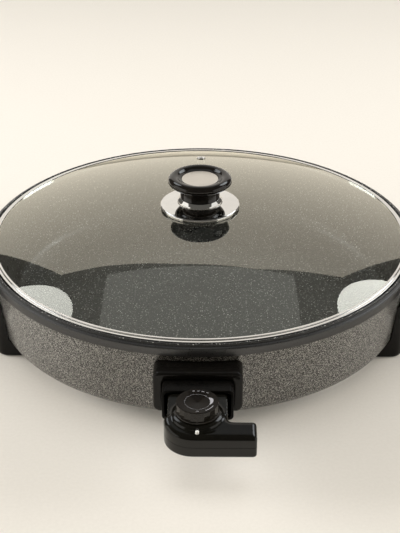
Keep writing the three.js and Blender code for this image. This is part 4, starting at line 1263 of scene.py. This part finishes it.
def mark_band(start, end, inner, outer, steps=40):
    """A flat raised band round the dial's top; inner and outer are functions of the share."""
    rings = []
    for k in range(steps + 1):
        share = k / steps
        angle = math.radians(start + (end - start) * share)
        near, far = inner(share), outer(share)
        x, y = math.cos(angle), math.sin(angle)
        ring = [(near * x, near * y, dish(near)), (far * x, far * y, dish(far))]
        rings.append(
            [(u, v, w - 0.05) for u, v, w in ring] + [(u, v, w + 0.06) for u, v, w in ring[::-1]]
        )
    return loft(rings)


def numeral(words, size, radius, angle):
    """Raised figures that read from outside the dial."""
    curve = bpy.data.curves.new("figures", "FONT")
    curve.body = words
    curve.size = size
    curve.align_x = "CENTER"
    curve.align_y = "CENTER"
    curve.extrude = 0.05
    curve.resolution_u = 3
    text = placed("figures", curve)
    graph = bpy.context.evaluated_depsgraph_get()
    mesh = bpy.data.meshes.new_from_object(text.evaluated_get(graph))
    bpy.data.objects.remove(text)
    turn = Matrix.Rotation(math.radians(angle - 90), 4, "Z")
    mesh.transform(turn @ Matrix.Translation((0, radius, 0.03)))
    for point in mesh.vertices:
        point.co.z += dish(math.hypot(point.co.x, point.co.y))
    mesh.transform(Matrix.Scale(MM, 4))
    mesh.transform(Matrix.Translation(Vector(DIAL_AT) * MM))
    return placed("figures", mesh)


def dial_marks():
    """Figures, a ramp that widens with the heat, and two fine rings."""
    parts = []
    for k, words in enumerate(("100", "150", "200", "250")):
        parts.append(numeral(words, 1.6, 14.2, 104 - 16 * k))
    parts.append(numeral("OFF", 1.5, 13.4, 270))
    bands = (
        (30, -22, lambda s: 10.4, lambda s: 10.7 + 2.3 * math.sin(math.pi * s**0.7)),
        (-24, -62, lambda s: 13.6, lambda s: 14.1),
        (0, 360, lambda s: 10.26, lambda s: 10.38),
    )
    for start, end, inner, outer in bands:
        parts.append(solid("band", mark_band(start, end, inner, outer), DIAL_AT))
    made = joined("dial_marks", *parts)
    dress(made, "dial", PRINT, (), 30)


# Pieces that stay as they are

KEPT_PIECES = (
    (SHEATH, ("heating_element",)),
    (CERAMIC, ("pin_holder",)),
    (LENS, ("indicator_lamp",)),
    (RUBBER, ("foot_pad_1", "foot_pad_2", "foot_pad_3", "foot_pad_4", "lid_washer")),
    (
        BRASS,
        (
            "lead_strip_left", "lead_strip_right", "contact_left", "contact_right",
            "earth_contact", "bimetal_blade",
        ),
    ),
    (
        ZINC,
        (
            "element_clip_1", "element_clip_2", "element_clip_3", "centre_washer", "centre_nut",
            "earth_pin", "probe_sleeve", "element_pin_left", "element_pin_right",
            "socket_screw_left", "socket_screw_right", "handle_screw_1", "handle_screw_2",
            "handle_screw_3", "handle_screw_4", "knob_screw", "control_screw_1",
            "control_screw_2", "probe", "thermostat_frame", "cord_clamp", "dial_shaft",
        ),
    ),
)


def finish_kept():
    """Finishes for the pieces that stay as their solids are."""
    for finish, names in KEPT_PIECES:
        for name in names:
            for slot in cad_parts[name].material_slots:
                slot.material = finish


camera()
stage()
lamps()
surroundings()
pan()
casing()
socket_housing()
socket_sleeve()
handle("handle_grip_right", 1, "handle_right")
handle("handle_grip_left", -1, "handle_left")
lid_glass()
lid_band()
vent()
knob_flange()
knob_collar()
lid_knob()
knob_disc()
control_shells()
index_lens()
cord_bush()
dial_ring()
dial_knob()
dial_marks()
finish_kept()
